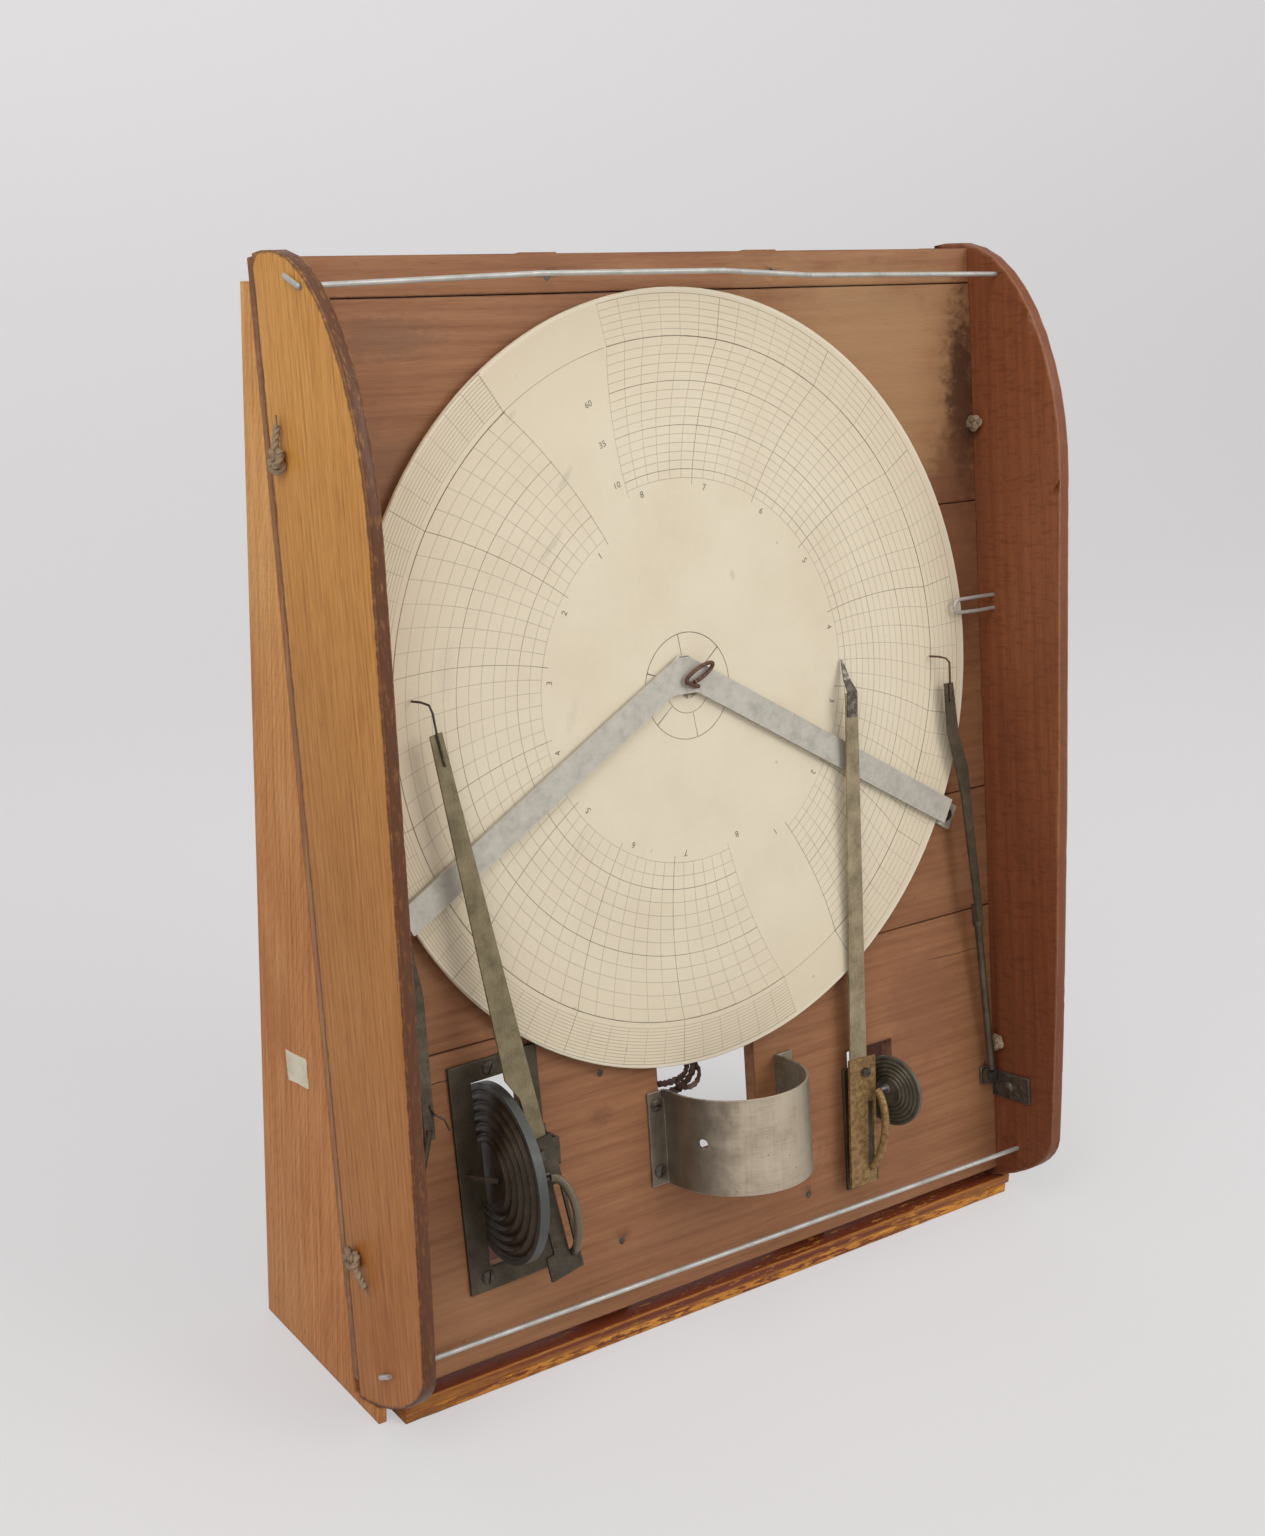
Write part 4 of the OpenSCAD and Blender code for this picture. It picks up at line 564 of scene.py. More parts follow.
chartPrint["marks"] = [((-54, 84), (7, 1.6), 0.9, 0.5), ((-62, 60), (8, 1.4), 0.8, 0.45),
                       ((24, 41), (1.6, 2.4), 0.2, 0.55),
                       ((-76, 108), (4, 1.2), 0.7, 0.4), ((-58, -4), (9, 2.5), 1.2, 0.2),
                       ((-112, 20), (12, 4), 1.4, 0.22),
                       ((-60, -55), (9, 1.5), 1.0, 0.3)]


def cardFinish(name, tints, size, rough):
    made, g, shader = newFinish(name)
    spot = g.vector(*g.boardAxes())
    fibre = g.noise(spot, size, 4, 0.65)
    cloud = g.noise(spot, 14, 3, 0.6)
    tint = g.ramp(cloud + (fibre - 0.5)*0.5, list(zip((0.25, 0.5, 0.78), tints)))
    tint = g.mix(tint, tints[0], g.step(g.cells(spot, 4), 0.05, 0.1, 0.5, 0))
    connect(g, shader, color=tint, rough=g.step(fibre, 0.3, 0.7, rough - 0.05, rough + 0.08),
            normal=g.bump((fibre - 0.5) + (cloud - 0.5)*0.7, 0.4, 0.0002))
    return made


finish = {name: woodFinish(name, look) for name, look in woods.items()}
finish.update({name: metalFinish(name, look) for name, look in metals.items()})
finish["tin"] = tinFinish("tin")
finish["paper"] = paperFinish("paper", chartPrint)
finish["basePaint"] = paintedFinish("basePaint", -0.01, 3)
finish["basePaintLow"] = paintedFinish("basePaintLow", 0.125, 11)
finish["card"] = cardFinish("card", ((0.56, 0.45, 0.30), (0.72, 0.62, 0.45), (0.80, 0.72, 0.56)), 0.8, 0.75)
finish["label"] = cardFinish("label", ((0.56, 0.48, 0.33), (0.72, 0.66, 0.50), (0.80, 0.75, 0.60)), 0.5, 0.72)
finish["twine"] = cardFinish("twine", ((0.16, 0.10, 0.06), (0.32, 0.22, 0.135), (0.46, 0.35, 0.23)), 0.5, 0.85)
finish["leather"] = cardFinish("leather", ((0.016, 0.007, 0.005), (0.045, 0.016, 0.01), (0.10, 0.036, 0.02)), 0.9,
                               0.55)
finish["ink"] = cardFinish("ink", ((0.12, 0.10, 0.075), (0.19, 0.16, 0.125), (0.26, 0.225, 0.175)), 0.4, 0.7)
print("finishes ready", len(finish))


# ---- making and placing pieces
def addPiece(name, mesh, look, body, stands=(), smooth=38):
    item = bpy.data.objects.new(name, mesh)
    scene.collection.objects.link(item)
    if look:
        mesh.materials.clear()
        mesh.materials.append(finish[look])
    mesh.shade_smooth()
    mesh.set_sharp_from_angle(angle=math.radians(smooth))
    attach(item, body)
    if stands:
        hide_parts(*stands)
    return item


def meshOf(work, name):
    mesh = bpy.data.meshes.new(name)
    work.to_mesh(mesh)
    work.free()
    return mesh


# A CAD solid with rounded edges, on a grid, that knows how far each point is from an edge
def boardCopy(node, look):
    work = bmesh.new()
    work.from_mesh(nodes[node].data)
    bmesh.ops.remove_doubles(work, verts=work.verts, dist=2e-6)
    bmesh.ops.dissolve_limit(work, angle_limit=math.radians(1), verts=work.verts, edges=work.edges)
    sharp = [e for e in work.edges if len(e.link_faces) == 2 and e.calc_face_angle() > 0.6
             and e.calc_length()*1000 > look.get("least", 3)]
    marks = []
    for e in sharp:
        a, b = (v.co*1000 for v in e.verts)
        count = max(1, int((b - a).length))
        marks += [a.lerp(b, i/count) for i in range(count + 1)]
    tree = kdtree.KDTree(len(marks))
    for i, mark in enumerate(marks):
        tree.insert(mark, i)
    tree.balance()
    if look.get("round", 0):
        bmesh.ops.bevel(work, geom=sharp, offset=look["round"]/1000, segments=2, profile=0.6, affect="EDGES",
                        clamp_overlap=True)
    bmesh.ops.triangulate(work, faces=work.faces)
    for axis, normal in enumerate((toRight, upBoard, outBoard)):
        spots = [toBoard(v.co)[axis] for v in work.verts]
        low, high = min(spots), max(spots)
        count = int((high - low)//look["grid"])
        for i in range(count):
            at = [0, 0, 0]
            at[axis] = low + (high - low)*(i + 1)/(count + 1)
            bmesh.ops.bisect_plane(work, geom=work.verts[:] + work.edges[:] + work.faces[:], dist=1e-6,
                                   plane_co=place(*at), plane_no=normal)
    layer = work.verts.layers.float.new("edge")
    work.normal_update()
    moves = []
    for v in work.verts:
        gap = max(0, tree.find(v.co*1000)[2] - look.get("round", 0)*0.4)
        v[layer] = max(0, 1 - gap/8)
        if look.get("chips") and gap < 1.2:
            bite = noise.noise(v.co*1000*0.35) + 0.5*noise.noise(v.co*1000*1.1)
            moves.append((v, v.normal*(-max(0, bite - 0.1)*look["chips"]*(1 - gap/1.2)/1000)))
    for v, move in moves:
        v.co += move
    return meshOf(work, node)


copies = {
    "plank_bottom plank_lower plank_middle plank_upper": dict(finish="board", round=0.35, grid=9),
    "plank_top": dict(finish="board", round=0.35, grid=7),
    "battens": dict(finish="frameWood", round=0.4, grid=9),
    "left_cheek": dict(finish="cheekLeft", round=0.55, grid=4.5, chips=0.5),
    "right_cheek": dict(finish="cheekRight", round=0.6, grid=5, chips=0.4),
    "stiles": dict(finish="frameWood", round=0.4, grid=8),
    "left_side_panel": dict(finish="panelLeft", round=0.4, grid=8),
    "right_side_panel": dict(finish="cheekRight", round=0.4, grid=8),
    "packing_strip": dict(finish="basePaint", round=0.3, grid=6),
    "base_upper_board": dict(finish="basePaint", round=0.5, grid=7, chips=0.35),
    "base_lower_board": dict(finish="basePaintLow", round=0.5, grid=7, chips=0.35),
    "bridge": dict(finish="aluminium", round=0.3, grid=9, least=0.7),
    "holder_band": dict(finish="tin", round=0.15, grid=6, least=0.7),
    "pressure_plate": dict(finish="darkPlate", round=0.25, grid=7),
    "temperature_plate": dict(finish="darkPlate", round=0.2, grid=7),
    "rim_brackets": dict(finish="darkSteel", round=0.2, grid=6),
    "pressure_bracket": dict(finish="leverMetal", round=0.15, grid=6),
    "clock_case clock_lid": dict(finish="japanned", round=0.25, grid=9, least=1.2),
}
for members, look in copies.items():
    for node in members.split():
        addPiece("dressed_" + node, boardCopy(node, look), look["finish"], nodes[node]["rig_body"], (node,))
print("boards and plates ready")


# ---- CAD solids that stay, with their finishes
kept = dict(
    darkSteel="board_nails pivot_pins capsule_stays pressure_link pressure_pen humidity_pen",
    wire="top_wire bottom_wire",
    card="chart_card",
    paper="chart_sheet",
    steel="chart_hub centre_arbor barrel_arbor temperature_link",
    nib="temperature_pen",
    rustyWire="wind_pen",
    blueSpring="mainspring",
    clockBrass="movement_plates plate_pillars mainspring_barrel escape_wheel balance_wheel winding_key",
    leverMetal="pressure_lever",
    leafMetal="wind_lever humidity_lever",
    brass="temperature_lever",
    olive="pressure_arm",
    oliveLight="temperature_arm",
)
for name, members in kept.items():
    for member in members.split():
        for slot in nodes[member].material_slots:
            slot.material = finish[name]
capsules = dict(
    pressure_capsule=dict(centre=(-111.5, 88, 4), turn=6, radius=34.9, tints=((0.1, 0.076, 0.046), (0.05, 0.036,
         0.021), (0.022, 0.015, 0.008)), rim=(0.09, 0.094, 0.09)),
    temperature_capsule=dict(centre=(89.3, 71, 8), turn=-8, radius=15.4,
         tints=((0.2, 0.17, 0.115), (0.105, 0.088, 0.056), (0.05, 0.041, 0.025)), rim=(0.13, 0.12, 0.095)),
)
for node, look in capsules.items():
    across, out = cosSin(look["turn"])
    axis = toRight*across + outBoard*out
    for slot in nodes[node].material_slots:
        slot.material = capsuleFinish(node, place(*look["centre"]), axis, look["radius"]/1000, look)


# ---- geometry nodes: wires and twine along paths, slotted screws on points
def newTree(name, inputs):
    tree = bpy.data.node_groups.new(name, "GeometryNodeTree")
    tree.interface.new_socket("Geometry", in_out="INPUT", socket_type="NodeSocketGeometry")
    for label, kind, value in inputs:
        socket = tree.interface.new_socket(label, in_out="INPUT", socket_type="NodeSocket" + kind)
        if value is not None:
            socket.default_value = value
    tree.interface.new_socket("Geometry", in_out="OUTPUT", socket_type="NodeSocketGeometry")
    graph = Graph(tree)
    source = tree.nodes.new("NodeGroupInput")
    sink = tree.nodes.new("NodeGroupOutput")
    given = {socket.name: Sock(graph, socket) for socket in source.outputs if socket.name}
    return tree, graph, given, sink


def closeTree(tree, g, body, given, sink):
    body = g.geo("RealizeInstances", {0: body})
    body = g.geo("SetMaterial", {"Geometry": body, "Material": given["Finish"]})
    tree.links.new(body.raw, sink.inputs[0])
    return tree


def grown(tree, mesh, settings, name):
    item = bpy.data.objects.new(name, mesh)
    scene.collection.objects.link(item)
    modifier = item.modifiers.new("grow", "NODES")
    modifier.node_group = tree
    for socket in tree.interface.items_tree:
        if socket.in_out == "INPUT" and socket.name in settings:
            modifier[socket.identifier] = settings[socket.name]
    depsgraph = bpy.context.evaluated_depsgraph_get()
    result = bpy.data.meshes.new_from_object(item.evaluated_get(depsgraph), depsgraph=depsgraph)
    result.name = name
    bpy.data.objects.remove(item)
    work = bmesh.new()
    work.from_mesh(result)
    bmesh.ops.remove_doubles(work, verts=work.verts, dist=1e-6)
    bmesh.ops.recalc_face_normals(work, faces=work.faces)
    work.to_mesh(result)
    work.free()
    return result


def makeWireTree():
    tree, g, given, sink = newTree("sweptWire", [("Radius", "Float", 0.001), ("Sides", "Int", 16),
            ("Lobes", "Float", 0.0),
                                                 ("Twist", "Float", 0.0), ("Finish", "Material", None)])
    curve = g.geo("MeshToCurve", {0: given["Geometry"]})
    along = g.geo("SplineParameter", out=1)
    curve = g.geo("SetCurveTilt", {"Curve": curve, "Tilt": along*given["Twist"]})
    thick = g.geo("InputNamedAttribute", {"Name": "thick"}, {"data_type": "FLOAT"})
    curve = g.geo("SetCurveRadius", {"Curve": curve, "Radius": thick})
    ring = g.geo("CurvePrimitiveCircle", {"Resolution": given["Sides"], "Radius": given["Radius"]})
    spot = g.geo("InputPosition")
    x, y = g.part(spot, 0), g.part(spot, 1)
    swell = 1 - given["Lobes"]*(0.5 - 0.5*(y.sum("ARCTAN2", x)*3).sum("COSINE"))
    moved = g.node("ShaderNodeVectorMath", {"operation": "SCALE"}, {0: spot, "Scale": swell})
    ring = g.geo("SetPosition", {"Geometry": ring, "Position": moved})
    body = g.geo("CurveToMesh", {"Curve": curve, "Profile Curve": ring, "Fill Caps": True})
    return closeTree(tree, g, body, given, sink)


def makeScrewTree():
    tree, g, given, sink = newTree("slottedScrew", [("Head", "Float", 0.0029), ("Rise", "Float", 0.0013),
            ("Slot", "Float", 0.0007),
                                                    ("Shank", "Float", 0.0013), ("Length", "Float", 0.005),
                                                    ("Finish", "Material", None)])
    raised = lambda item, up: g.geo("Transform", {"Geometry": item, "Translation": g.vector(0, 0, up)})
    head = g.geo("MeshUVSphere", {"Segments": 36, "Rings": 16, "Radius": given["Head"]})
    flat = g.vector(1, 1, given["Rise"]/given["Head"])
    head = g.geo("Transform", {"Geometry": head, "Scale": flat})
    below = g.geo("MeshCube", {"Size": g.vector(given["Head"]*3, given["Head"]*3, given["Rise"]*2)})
    below = raised(below, given["Rise"]*-1.0)
    slot = g.geo("MeshCube", {"Size": g.vector(given["Head"]*2.4, given["Slot"], given["Rise"]*1.2)})
    slot = raised(slot, given["Rise"]*1.05)
    cut = g.geo("MeshBoolean", {"Mesh 1": head, "Mesh 2": below}, {"operation": "DIFFERENCE"})
    cut = g.geo("MeshBoolean", {"Mesh 1": cut, "Mesh 2": slot}, {"operation": "DIFFERENCE"})
    shank = g.geo("MeshCylinder", {"Vertices": 16, "Radius": given["Shank"], "Depth": given["Length"]})
    shank = raised(shank, given["Length"]*-0.5)
    joined = g.geo("JoinGeometry")
    tree.links.new(cut.raw, joined.raw.node.inputs[0])
    tree.links.new(shank.raw, joined.raw.node.inputs[0])
    axis = g.geo("InputNamedAttribute", {"Name": "axis"}, {"data_type": "FLOAT_VECTOR"})
    turn = g.geo("InputNamedAttribute", {"Name": "turn"}, {"data_type": "FLOAT"})
    aim = g.node("FunctionNodeAlignRotationToVector", {"axis": "Z"}, {"Vector": axis})
    spun = g.node("FunctionNodeRotateRotation", {"rotation_space": "LOCAL"},
                  {"Rotation": aim, "Rotate By": g.node("FunctionNodeAxisAngleToRotation", None,
                          {"Axis": (0, 0, 1), "Angle": turn})})
    points = g.geo("InstanceOnPoints", {"Points": given["Geometry"], "Instance": joined, "Rotation": spun})
    return closeTree(tree, g, points, given, sink)


wireTree = makeWireTree()
screwTree = makeScrewTree()


def smoothPath(points, count=6):
    ends = [points[0]*2 - points[1]] + list(points) + [points[-1]*2 - points[-2]]
    dense = []
    for a, b, c, d in zip(ends, ends[1:], ends[2:], ends[3:]):
        for i in range(count):
            t = i/count
            dense.append(0.5*(2*b + (c - a)*t + (2*a - 5*b + 4*c - d)*t*t + (3*b - a - 3*c + d)*t*t*t))
    return dense + [points[-1]]


# Paths are lists of points in metres; thick gives each path's share of the radius at start, middle and end
def wirePiece(name, paths, look, body, stands=()):
    mesh = bpy.data.meshes.new(name + "_path")
    verts, edges, thick = [], [], []
    for path in paths:
        points, shares = path if isinstance(path, tuple) else (path, (1, 1, 1))
        first = len(verts)
        for i, point in enumerate(points):
            t = i/(len(points) - 1)
            verts.append(point)
            thick.append(shares[0]*max(0, 1 - 2*t) + shares[1]*(1 - abs(1 - 2*t)) + shares[2]*max(0, 2*t - 1))
        edges += [(k, k + 1) for k in range(first, len(verts) - 1)]
    mesh.from_pydata(verts, edges, [])
    mesh.attributes.new("thick", "FLOAT", "POINT").data.foreach_set("value", thick)
    made = grown(wireTree, mesh, {"Radius": look["radius"]/1000, "Sides": look.get("sides", 14),
                                  "Lobes": look.get("lobes", 0.0),
                                  "Twist": look.get("twist", 0.0)*1000, "Finish": finish[look["finish"]]}, name)
    return addPiece(name, made, look["finish"], body, stands, 60)


def screwPiece(name, spots, look, body, stands):
    mesh = bpy.data.meshes.new(name + "_points")
    mesh.from_pydata([spot for spot, axis, turn in spots], [], [])
    mesh.attributes.new("axis", "FLOAT_VECTOR", "POINT").data.foreach_set("vector",
            [c for s in spots for c in s[1]])
    mesh.attributes.new("turn", "FLOAT", "POINT").data.foreach_set("value", [math.radians(s[2]) for s in spots])
    settings = {key.title(): look[key]/1000 for key in ("head", "rise", "slot", "shank", "length")}
    made = grown(screwTree, mesh, {**settings, "Finish": finish[look["finish"]]}, name)
    return addPiece(name, made, look["finish"], body, stands, 32)


# ---- screws
screwLook = dict(head=2.9, rise=1.35, slot=0.75, shank=1.25, length=5.6, finish="darkSteel")
screwSpots = [(-111.158, 128.928, 1.5, 62), (-118.878, 47.181, 1.5, 78), (72, 34, 1.5, 20), (82, 34, 1.5, 100),
              (-33.3, 66, 1, 75), (-33.3, 94, 1, 10), (35.7, 66, 1, 40), (35.7, 94, 1, 120),
              (-150.073, 189.116, 1.6, 30),
              (135.826, 184.73, 1.6, 80), (103.3, 67, 1.5, 15)]
spots = [(place(x, s, w), outBoard, turn) for x, s, w, turn in screwSpots]
spots += [(place(chartAt[0], chartAt[1] + k*44, -7.5), -outBoard, 20) for k in (-1, 1)]
spots += [(place(k*161.1, 54.5, 9), Vector((-k, 0, 0)), 60) for k in (-1, 1)]
screwPiece("slotted_screws", spots, screwLook, "case", ("wood_screws",))

# ---- bent wires: eye pin, staple and hooks
eyeLook = dict(radius=0.8, finish="rustyWire", cx=-5.2, cs=265.7, half=(7.2, 2.2), rise=9.9, tilt=23)
ct, st = cosSin(eyeLook["tilt"])
loop = []
for a in range(205, -130, -15):
    u, v = (size*share for size, share in zip(eyeLook["half"], cosSin(a)))
    loop.append(place(eyeLook["cx"] + u*ct - v*st, eyeLook["cs"] + u*st + v*ct,
                      eyeLook["rise"] + 0.35*cosSin(a*1.5)[1]))
start = smoothPath([place(*chartAt, 9.2), place(-6.1, 260.6, 9.6), place(-8.4, 261.2, 9.7)] + loop, 3)
wirePiece("eye_loop", [[place(*chartAt, w) for w in (-1, 3, 6, 9.3)], (start, (1, 1, 0.8))], eyeLook, "eye_pin",
          ("eye_pin",))
stapleLook = dict(radius=0.8, finish="wire")
bend = [place(141.3 + 2.8*c, 276 + 2.8*s, 8) for c, s in (cosSin(a) for a in range(90, 271, 15))]
wirePiece("staple", [[place(165.5, 278.8, 8), place(153, 278.9, 8.1)] + bend
                     + [place(153, 273.0, 8.1), place(165.5, 273.2, 8)]],
          stapleLook, "case", ("rim_staple",))
print("screws and bent wires ready")


# Loops of bent wire that hold the pressure lever's pivot
hookLook = dict(radius=0.55, finish="darkSteel", pivot=(-102.5, 97, 18.8), lean=-10.7, paths=[
    [(-5.6, 3, 1.4), (-5.6, 4.6, 3.2), (-3.4, 5.6, 3.8), (-2.4, 2.4, 3.4), (-2.8, -2.6, 1.6)],
    [(-5.4, -8, 1.4), (-4.4, -6.6, 3.4), (-1.8, -6.4, 3.9), (0.6, -7.6, 3.3), (1.4, -9.4, 1.5)]])


def leverPlace(unit, v, u, w):
    x, s, front = unit["pivot"]
    ct, st = cosSin(unit["lean"])
    return place(x + v*ct + u*st, s - v*st + u*ct, front + w)


wirePiece("pivot_hooks", [smoothPath([leverPlace(hookLook, *p) for p in path], 5) for path in hookLook["paths"]],
          hookLook, "pressure_lever")


# ---- twine ties: a knot on each side of a cheek, twisted strands and a frayed tail
twineLook = dict(radius=1.45, lobes=0.34, twist=0.9, sides=18, finish="twine", knots=(1.25, 1.25*0.72),
                 clear=1.5, steps=72, fibres=7, ties=[
    (-1, 359.3, -15.3, 12, 1.5, 6), (-1, 66.5, -13.5, -9, 8, 3.5), (1, 353, 2.5, 6, 5, 0), (1, 75, 4, 7, 4, 0)])
paths, fibres = [], []
for side, s, hole, rise, out, shift in twineLook["ties"]:
    k = twineLook["knots"][0 if side < 0 else 1]
    away = twineLook["clear"] + k
    for x, w in ((cheekFaces[0] - away, hole), (cheekFaces[1] + away, hole + shift)):
        ring = []
        for i in range(twineLook["steps"] + 1):
            t = 2*math.pi*i/twineLook["steps"]
            ring.append(place(side*(x + k*0.95*math.sin(3*t)), s + k*(2 + math.cos(3*t))*math.cos(2*t + s),
                              w + k*(2 + math.cos(3*t))*math.sin(2*t + s)))
        paths.append(ring)
    paths.append([place(side*161, s, hole), place(side*163, s, hole), place(side*168, s, hole),
                  place(side*170, s, hole + shift*0.4), place(side*170.3, s, w)])
    tail = smoothPath([place(side*169.9, s, w), place(side*171.0, s + rise*0.35, w + out*0.5),
                       place(side*170.3, s + rise*0.8, w + out*0.75), place(side*170.0, s + rise, w + out)], 6)
    paths.append((tail, (1, 1, 0.85)))
    for k in range(twineLook["fibres"]):
        turn = k*2.4 + s
        tip = place(side*(170.2 + 0.7*math.sin(turn)), s + rise*1.18 + 1.3*math.cos(turn),
                    w + out*1.1 + 1.3*math.sin(turn*1.7))
        fibres.append((smoothPath([tail[-3], tail[-1].lerp(tip, 0.5), tip], 4), (1, 0.8, 0.5)))
wirePiece("twine_ties", paths, twineLook, "case", ("cord_knots",))
wirePiece("twine_fray", fibres, {"radius": 0.26, "sides": 6, "finish": "twine"}, "case", ())
print("twine ready")


# ---- thin sheets bent along a path: rows of points, given a thickness
def sheetMesh(name, rows, thick):
    work = bmesh.new()
    grid = [[Vector(p) for p in row] for row in rows]
    high, wide = len(grid), len(grid[0])
    front, back = [], []
    for i in range(high):
        front.append([])
        back.append([])
        for k in range(wide):
            du = grid[min(i + 1, high - 1)][k] - grid[max(i - 1, 0)][k]
            dv = grid[i][min(k + 1, wide - 1)] - grid[i][max(k - 1, 0)]
            normal = dv.cross(du).normalized()*(thick/2000)
            front[i].append(work.verts.new(grid[i][k] + normal))
            back[i].append(work.verts.new(grid[i][k] - normal))
    for i in range(high - 1):
        for k in range(wide - 1):
            work.faces.new((front[i][k], front[i][k + 1], front[i + 1][k + 1], front[i + 1][k]))
            work.faces.new((back[i][k], back[i + 1][k], back[i + 1][k + 1], back[i][k + 1]))
    rim = [(0, k) for k in range(wide)] + [(i, wide - 1) for i in range(1, high)]
    rim += [(high - 1, k) for k in range(wide - 2, -1, -1)] + [(i, 0) for i in range(high - 2, 0, -1)]
    for (i, k), (m, n) in zip(rim, rim[1:] + rim[:1]):
        work.faces.new((front[m][n], front[i][k], back[i][k], back[m][n]))
    bmesh.ops.recalc_face_normals(work, faces=work.faces)
    return meshOf(work, name)


# Leather remnant: thin dried strips, torn and curled, that hang across the board's slot
leatherLook = dict(thick=0.9, strips=[
    (1.5, [(-12, 109, -2), (-13.5, 106, 1.5), (-18, 101.5, 3), (-24, 98.7, 3), (-29.5, 97.8, 1.5),
           (-31.8, 97.8, -3)]),
    (1.2, [(-15, 110, -2), (-17.5, 106.5, 2), (-21, 103.8, 3.6), (-26, 102.8, 3.4), (-30, 102, 1),
           (-32, 101.8, -4)]),
    (0.9, [(-13, 108.5, -1), (-12.4, 104, 3.4), (-15.3, 100, 4.8), (-20.5, 99.2, 5.2), (-24.6, 101.6, 4.8),
           (-22, 104.9, 4.4)])])
for number, (half, path) in enumerate(leatherLook["strips"]):
    spine = smoothPath([Vector(p) for p in path], 6)
    rows = []
    for i, (x, s, w) in enumerate(spine):
        ahead = spine[min(i + 1, len(spine) - 1)] - spine[max(i - 1, 0)]
        side = Vector((-ahead.y, ahead.x, 0)).normalized()*half*(1 + 0.25*math.sin(2.3*i + number))
        rows.append([place(x + side.x*k, s + side.y*k, w + 0.5*k*math.sin(0.4*i + number))
                     for k in (-1, -0.33, 0.33, 1)])
    addPiece("leather_%d" % (number + 1), sheetMesh("leather", rows, leatherLook["thick"]), "leather", "case",
             ("leather_strip",), 50)

# Bare paper label with uneven edges on the left panel
labelLook = dict(w=(-54, -37), s=(125, 137))
rows = []
for i in range(13):
    t = i/12
    s = labelLook["s"][0] + (labelLook["s"][1] - labelLook["s"][0])*t
    edge = [0.9*noise.noise(Vector((s*0.55, 7.3, k))) for k in (0, 5)]
    rows.append([place(-168.07, s + 0.5*noise.noise(Vector((q*3.1, 2.2, t)))*(abs(t - 0.5)*2)**4,
                       labelLook["w"][0] + edge[0] + (17 + edge[1] - edge[0])*q) for q in [k/8 for k in range(9)]])
addPiece("bare_label", sheetMesh("bare_label", rows, 0.12), "label", "case", ("paper_label",), 50)
print("leather and label ready")


# ---- plain numbers on the chart, in place of its lettering
numberLook = dict(size=3.6, w=5.235, centre=(-7.9, 260.75), wind=(77.2, -12.5, 22.9), rise=(66.2, -198.3, 23.3))


def printNumbers(look):
    work = bmesh.new()
    marks = []
    for radius, start, hour in (look["wind"], look["rise"]):
        marks += [(str(8 - k), radius, start + hour*k, look["size"]) for k in range(8)]
    marks += [(text, radius, -19.5, 3.4) for text, radius in (("60", 117), ("35", 101), ("10", 84.5))]
    for text, radius, angle, size in marks:
        data = bpy.data.curves.new("number", "FONT")
        data.body, data.size, data.align_x, data.align_y = text, size/1000, "CENTER", "CENTER"
        data.resolution_u, data.extrude = 3, 0.00002
        item = bpy.data.objects.new("number", data)
        scene.collection.objects.link(item)
        depsgraph = bpy.context.evaluated_depsgraph_get()
        mesh = bpy.data.meshes.new_from_object(item.evaluated_get(depsgraph))
        across, along = cosSin(angle)
        centre = place(look["centre"][0] + radius*along, look["centre"][1] + radius*across, look["w"])
        up = upBoard*across + toRight*along
        right = up.cross(outBoard)
        mesh.transform(Matrix.Translation(centre) @ Matrix((right, up, outBoard)).transposed().to_4x4())
        work.from_mesh(mesh)
        bpy.data.objects.remove(item)
        bpy.data.meshes.remove(mesh)
    bmesh.ops.remove_doubles(work, verts=work.verts, dist=1e-6)
    return addPiece("chart_numbers", meshOf(work, "chart_numbers"), "ink", "chart", (), 30)


printNumbers(numberLook)
print("numbers ready")


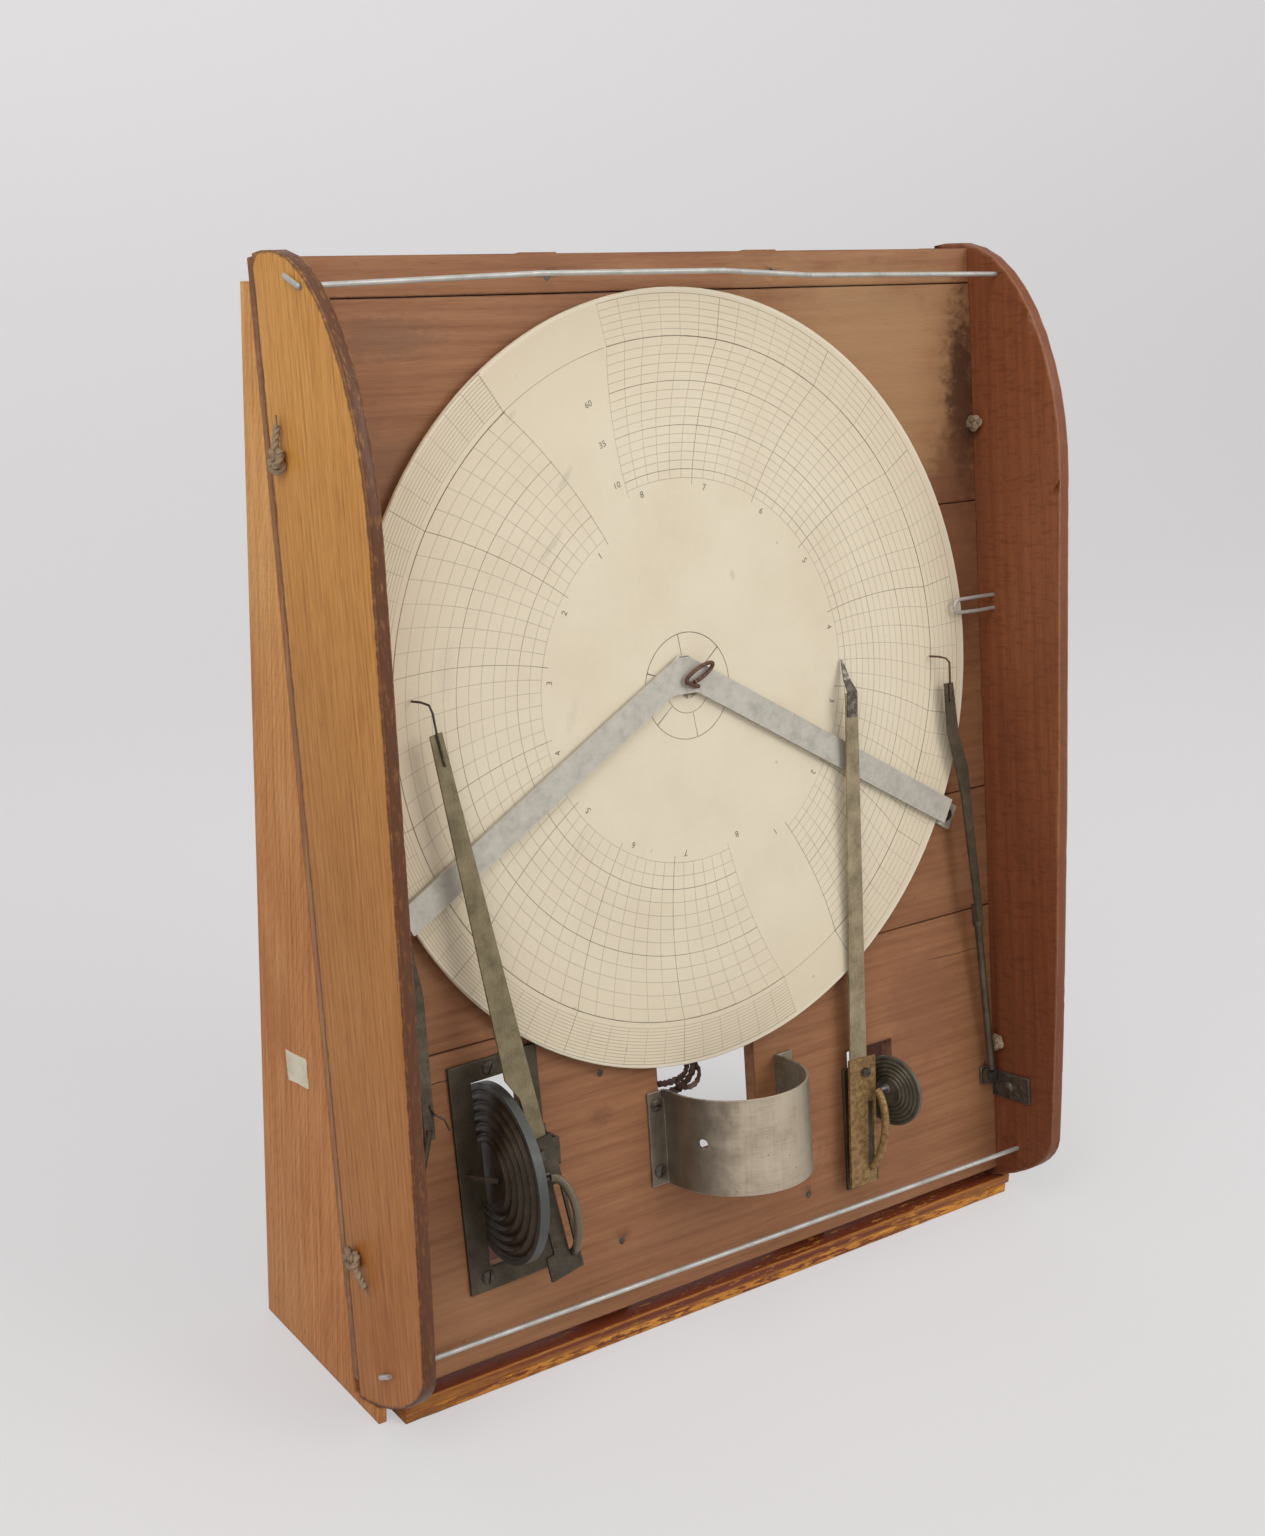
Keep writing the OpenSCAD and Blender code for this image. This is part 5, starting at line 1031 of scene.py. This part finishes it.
# ---- floor, backdrop and lights
stageLook = dict(floor=(0.62, 0.61, 0.6), wall=(0.9, 0.885, 0.895), shown=0.55, glow=(0.82, 0.8, 0.805))
lights = [("key", (1.25, -1.9, 1.55), 1.5, 27, (1.0, 0.985, 0.96)),
          ("fill", (-1.35, -0.7, 1.5), 1.2, 13, (1.0, 1.0, 1.0)),
          ("overhead", (-0.1, -0.2, 2.2), 1.4, 9, (1.0, 0.99, 0.98))]


def makeStage(look):
    work = bmesh.new()
    profile = [(-4.0, 0.0), (1.0, 0.0)] + [(1.0 + 0.9*math.sin(a*math.pi/24), 0.9 - 0.9*math.cos(a*math.pi/24))
                                          for a in range(1, 13)] + [(1.9, 5.0)]
    rows = [[work.verts.new((x, y, z)) for x in (-5, 5)] for y, z in profile]
    for low, high in zip(rows, rows[1:]):
        work.faces.new((low[0], low[1], high[1], high[0]))
    mesh = meshOf(work, "backdrop")
    made, g, shader = newFinish("backdrop")
    shader.inputs["Roughness"].default_value = 0.9
    spot = g.spot()
    grain = g.noise(spot, 0.35, 3, 0.5)
    height = g.part(spot, 2)
    ground = g.mix(look["floor"], tuple(c*0.97 for c in look["floor"]), grain)
    connect(g, shader, color=g.mix(ground, look["wall"], g.step(height, 0, 0.9)))
    rays = [g.node("ShaderNodeLightPath", None, None, k) for k in (0, 3, 6)]
    seen = (rays[0] + rays[1] + rays[2]).lowest(1)*look["shown"]
    glow = g.node("ShaderNodeEmission", None, {"Color": (*look["glow"], 1), "Strength": 1.0})
    bright = g.node("ShaderNodeMixShader", None, {0: seen, 1: Sock(g, shader.outputs[0]), 2: glow})
    made.node_tree.links.new(bright.raw, made.node_tree.nodes["Material Output"].inputs[0])
    item = bpy.data.objects.new("backdrop", mesh)
    mesh.materials.append(made)
    mesh.shade_smooth()
    scene.collection.objects.link(item)


makeStage(stageLook)
for name, spot, size, power, tint in lights:
    data = bpy.data.lights.new(name, "AREA")
    data.size, data.energy, data.color = size, power, tint
    item = bpy.data.objects.new(name, data)
    item.location = spot
    item.rotation_euler = (Vector((0, 0, 0.2)) - Vector(spot)).to_track_quat("-Z", "Y").to_euler()
    scene.collection.objects.link(item)
world = bpy.data.worlds.new("studio")
world.use_nodes = True
world.node_tree.nodes["Background"].inputs[0].default_value = (0.95, 0.965, 1.0, 1)
world.node_tree.nodes["Background"].inputs[1].default_value = 0.46
scene.world = world
print("stage ready")
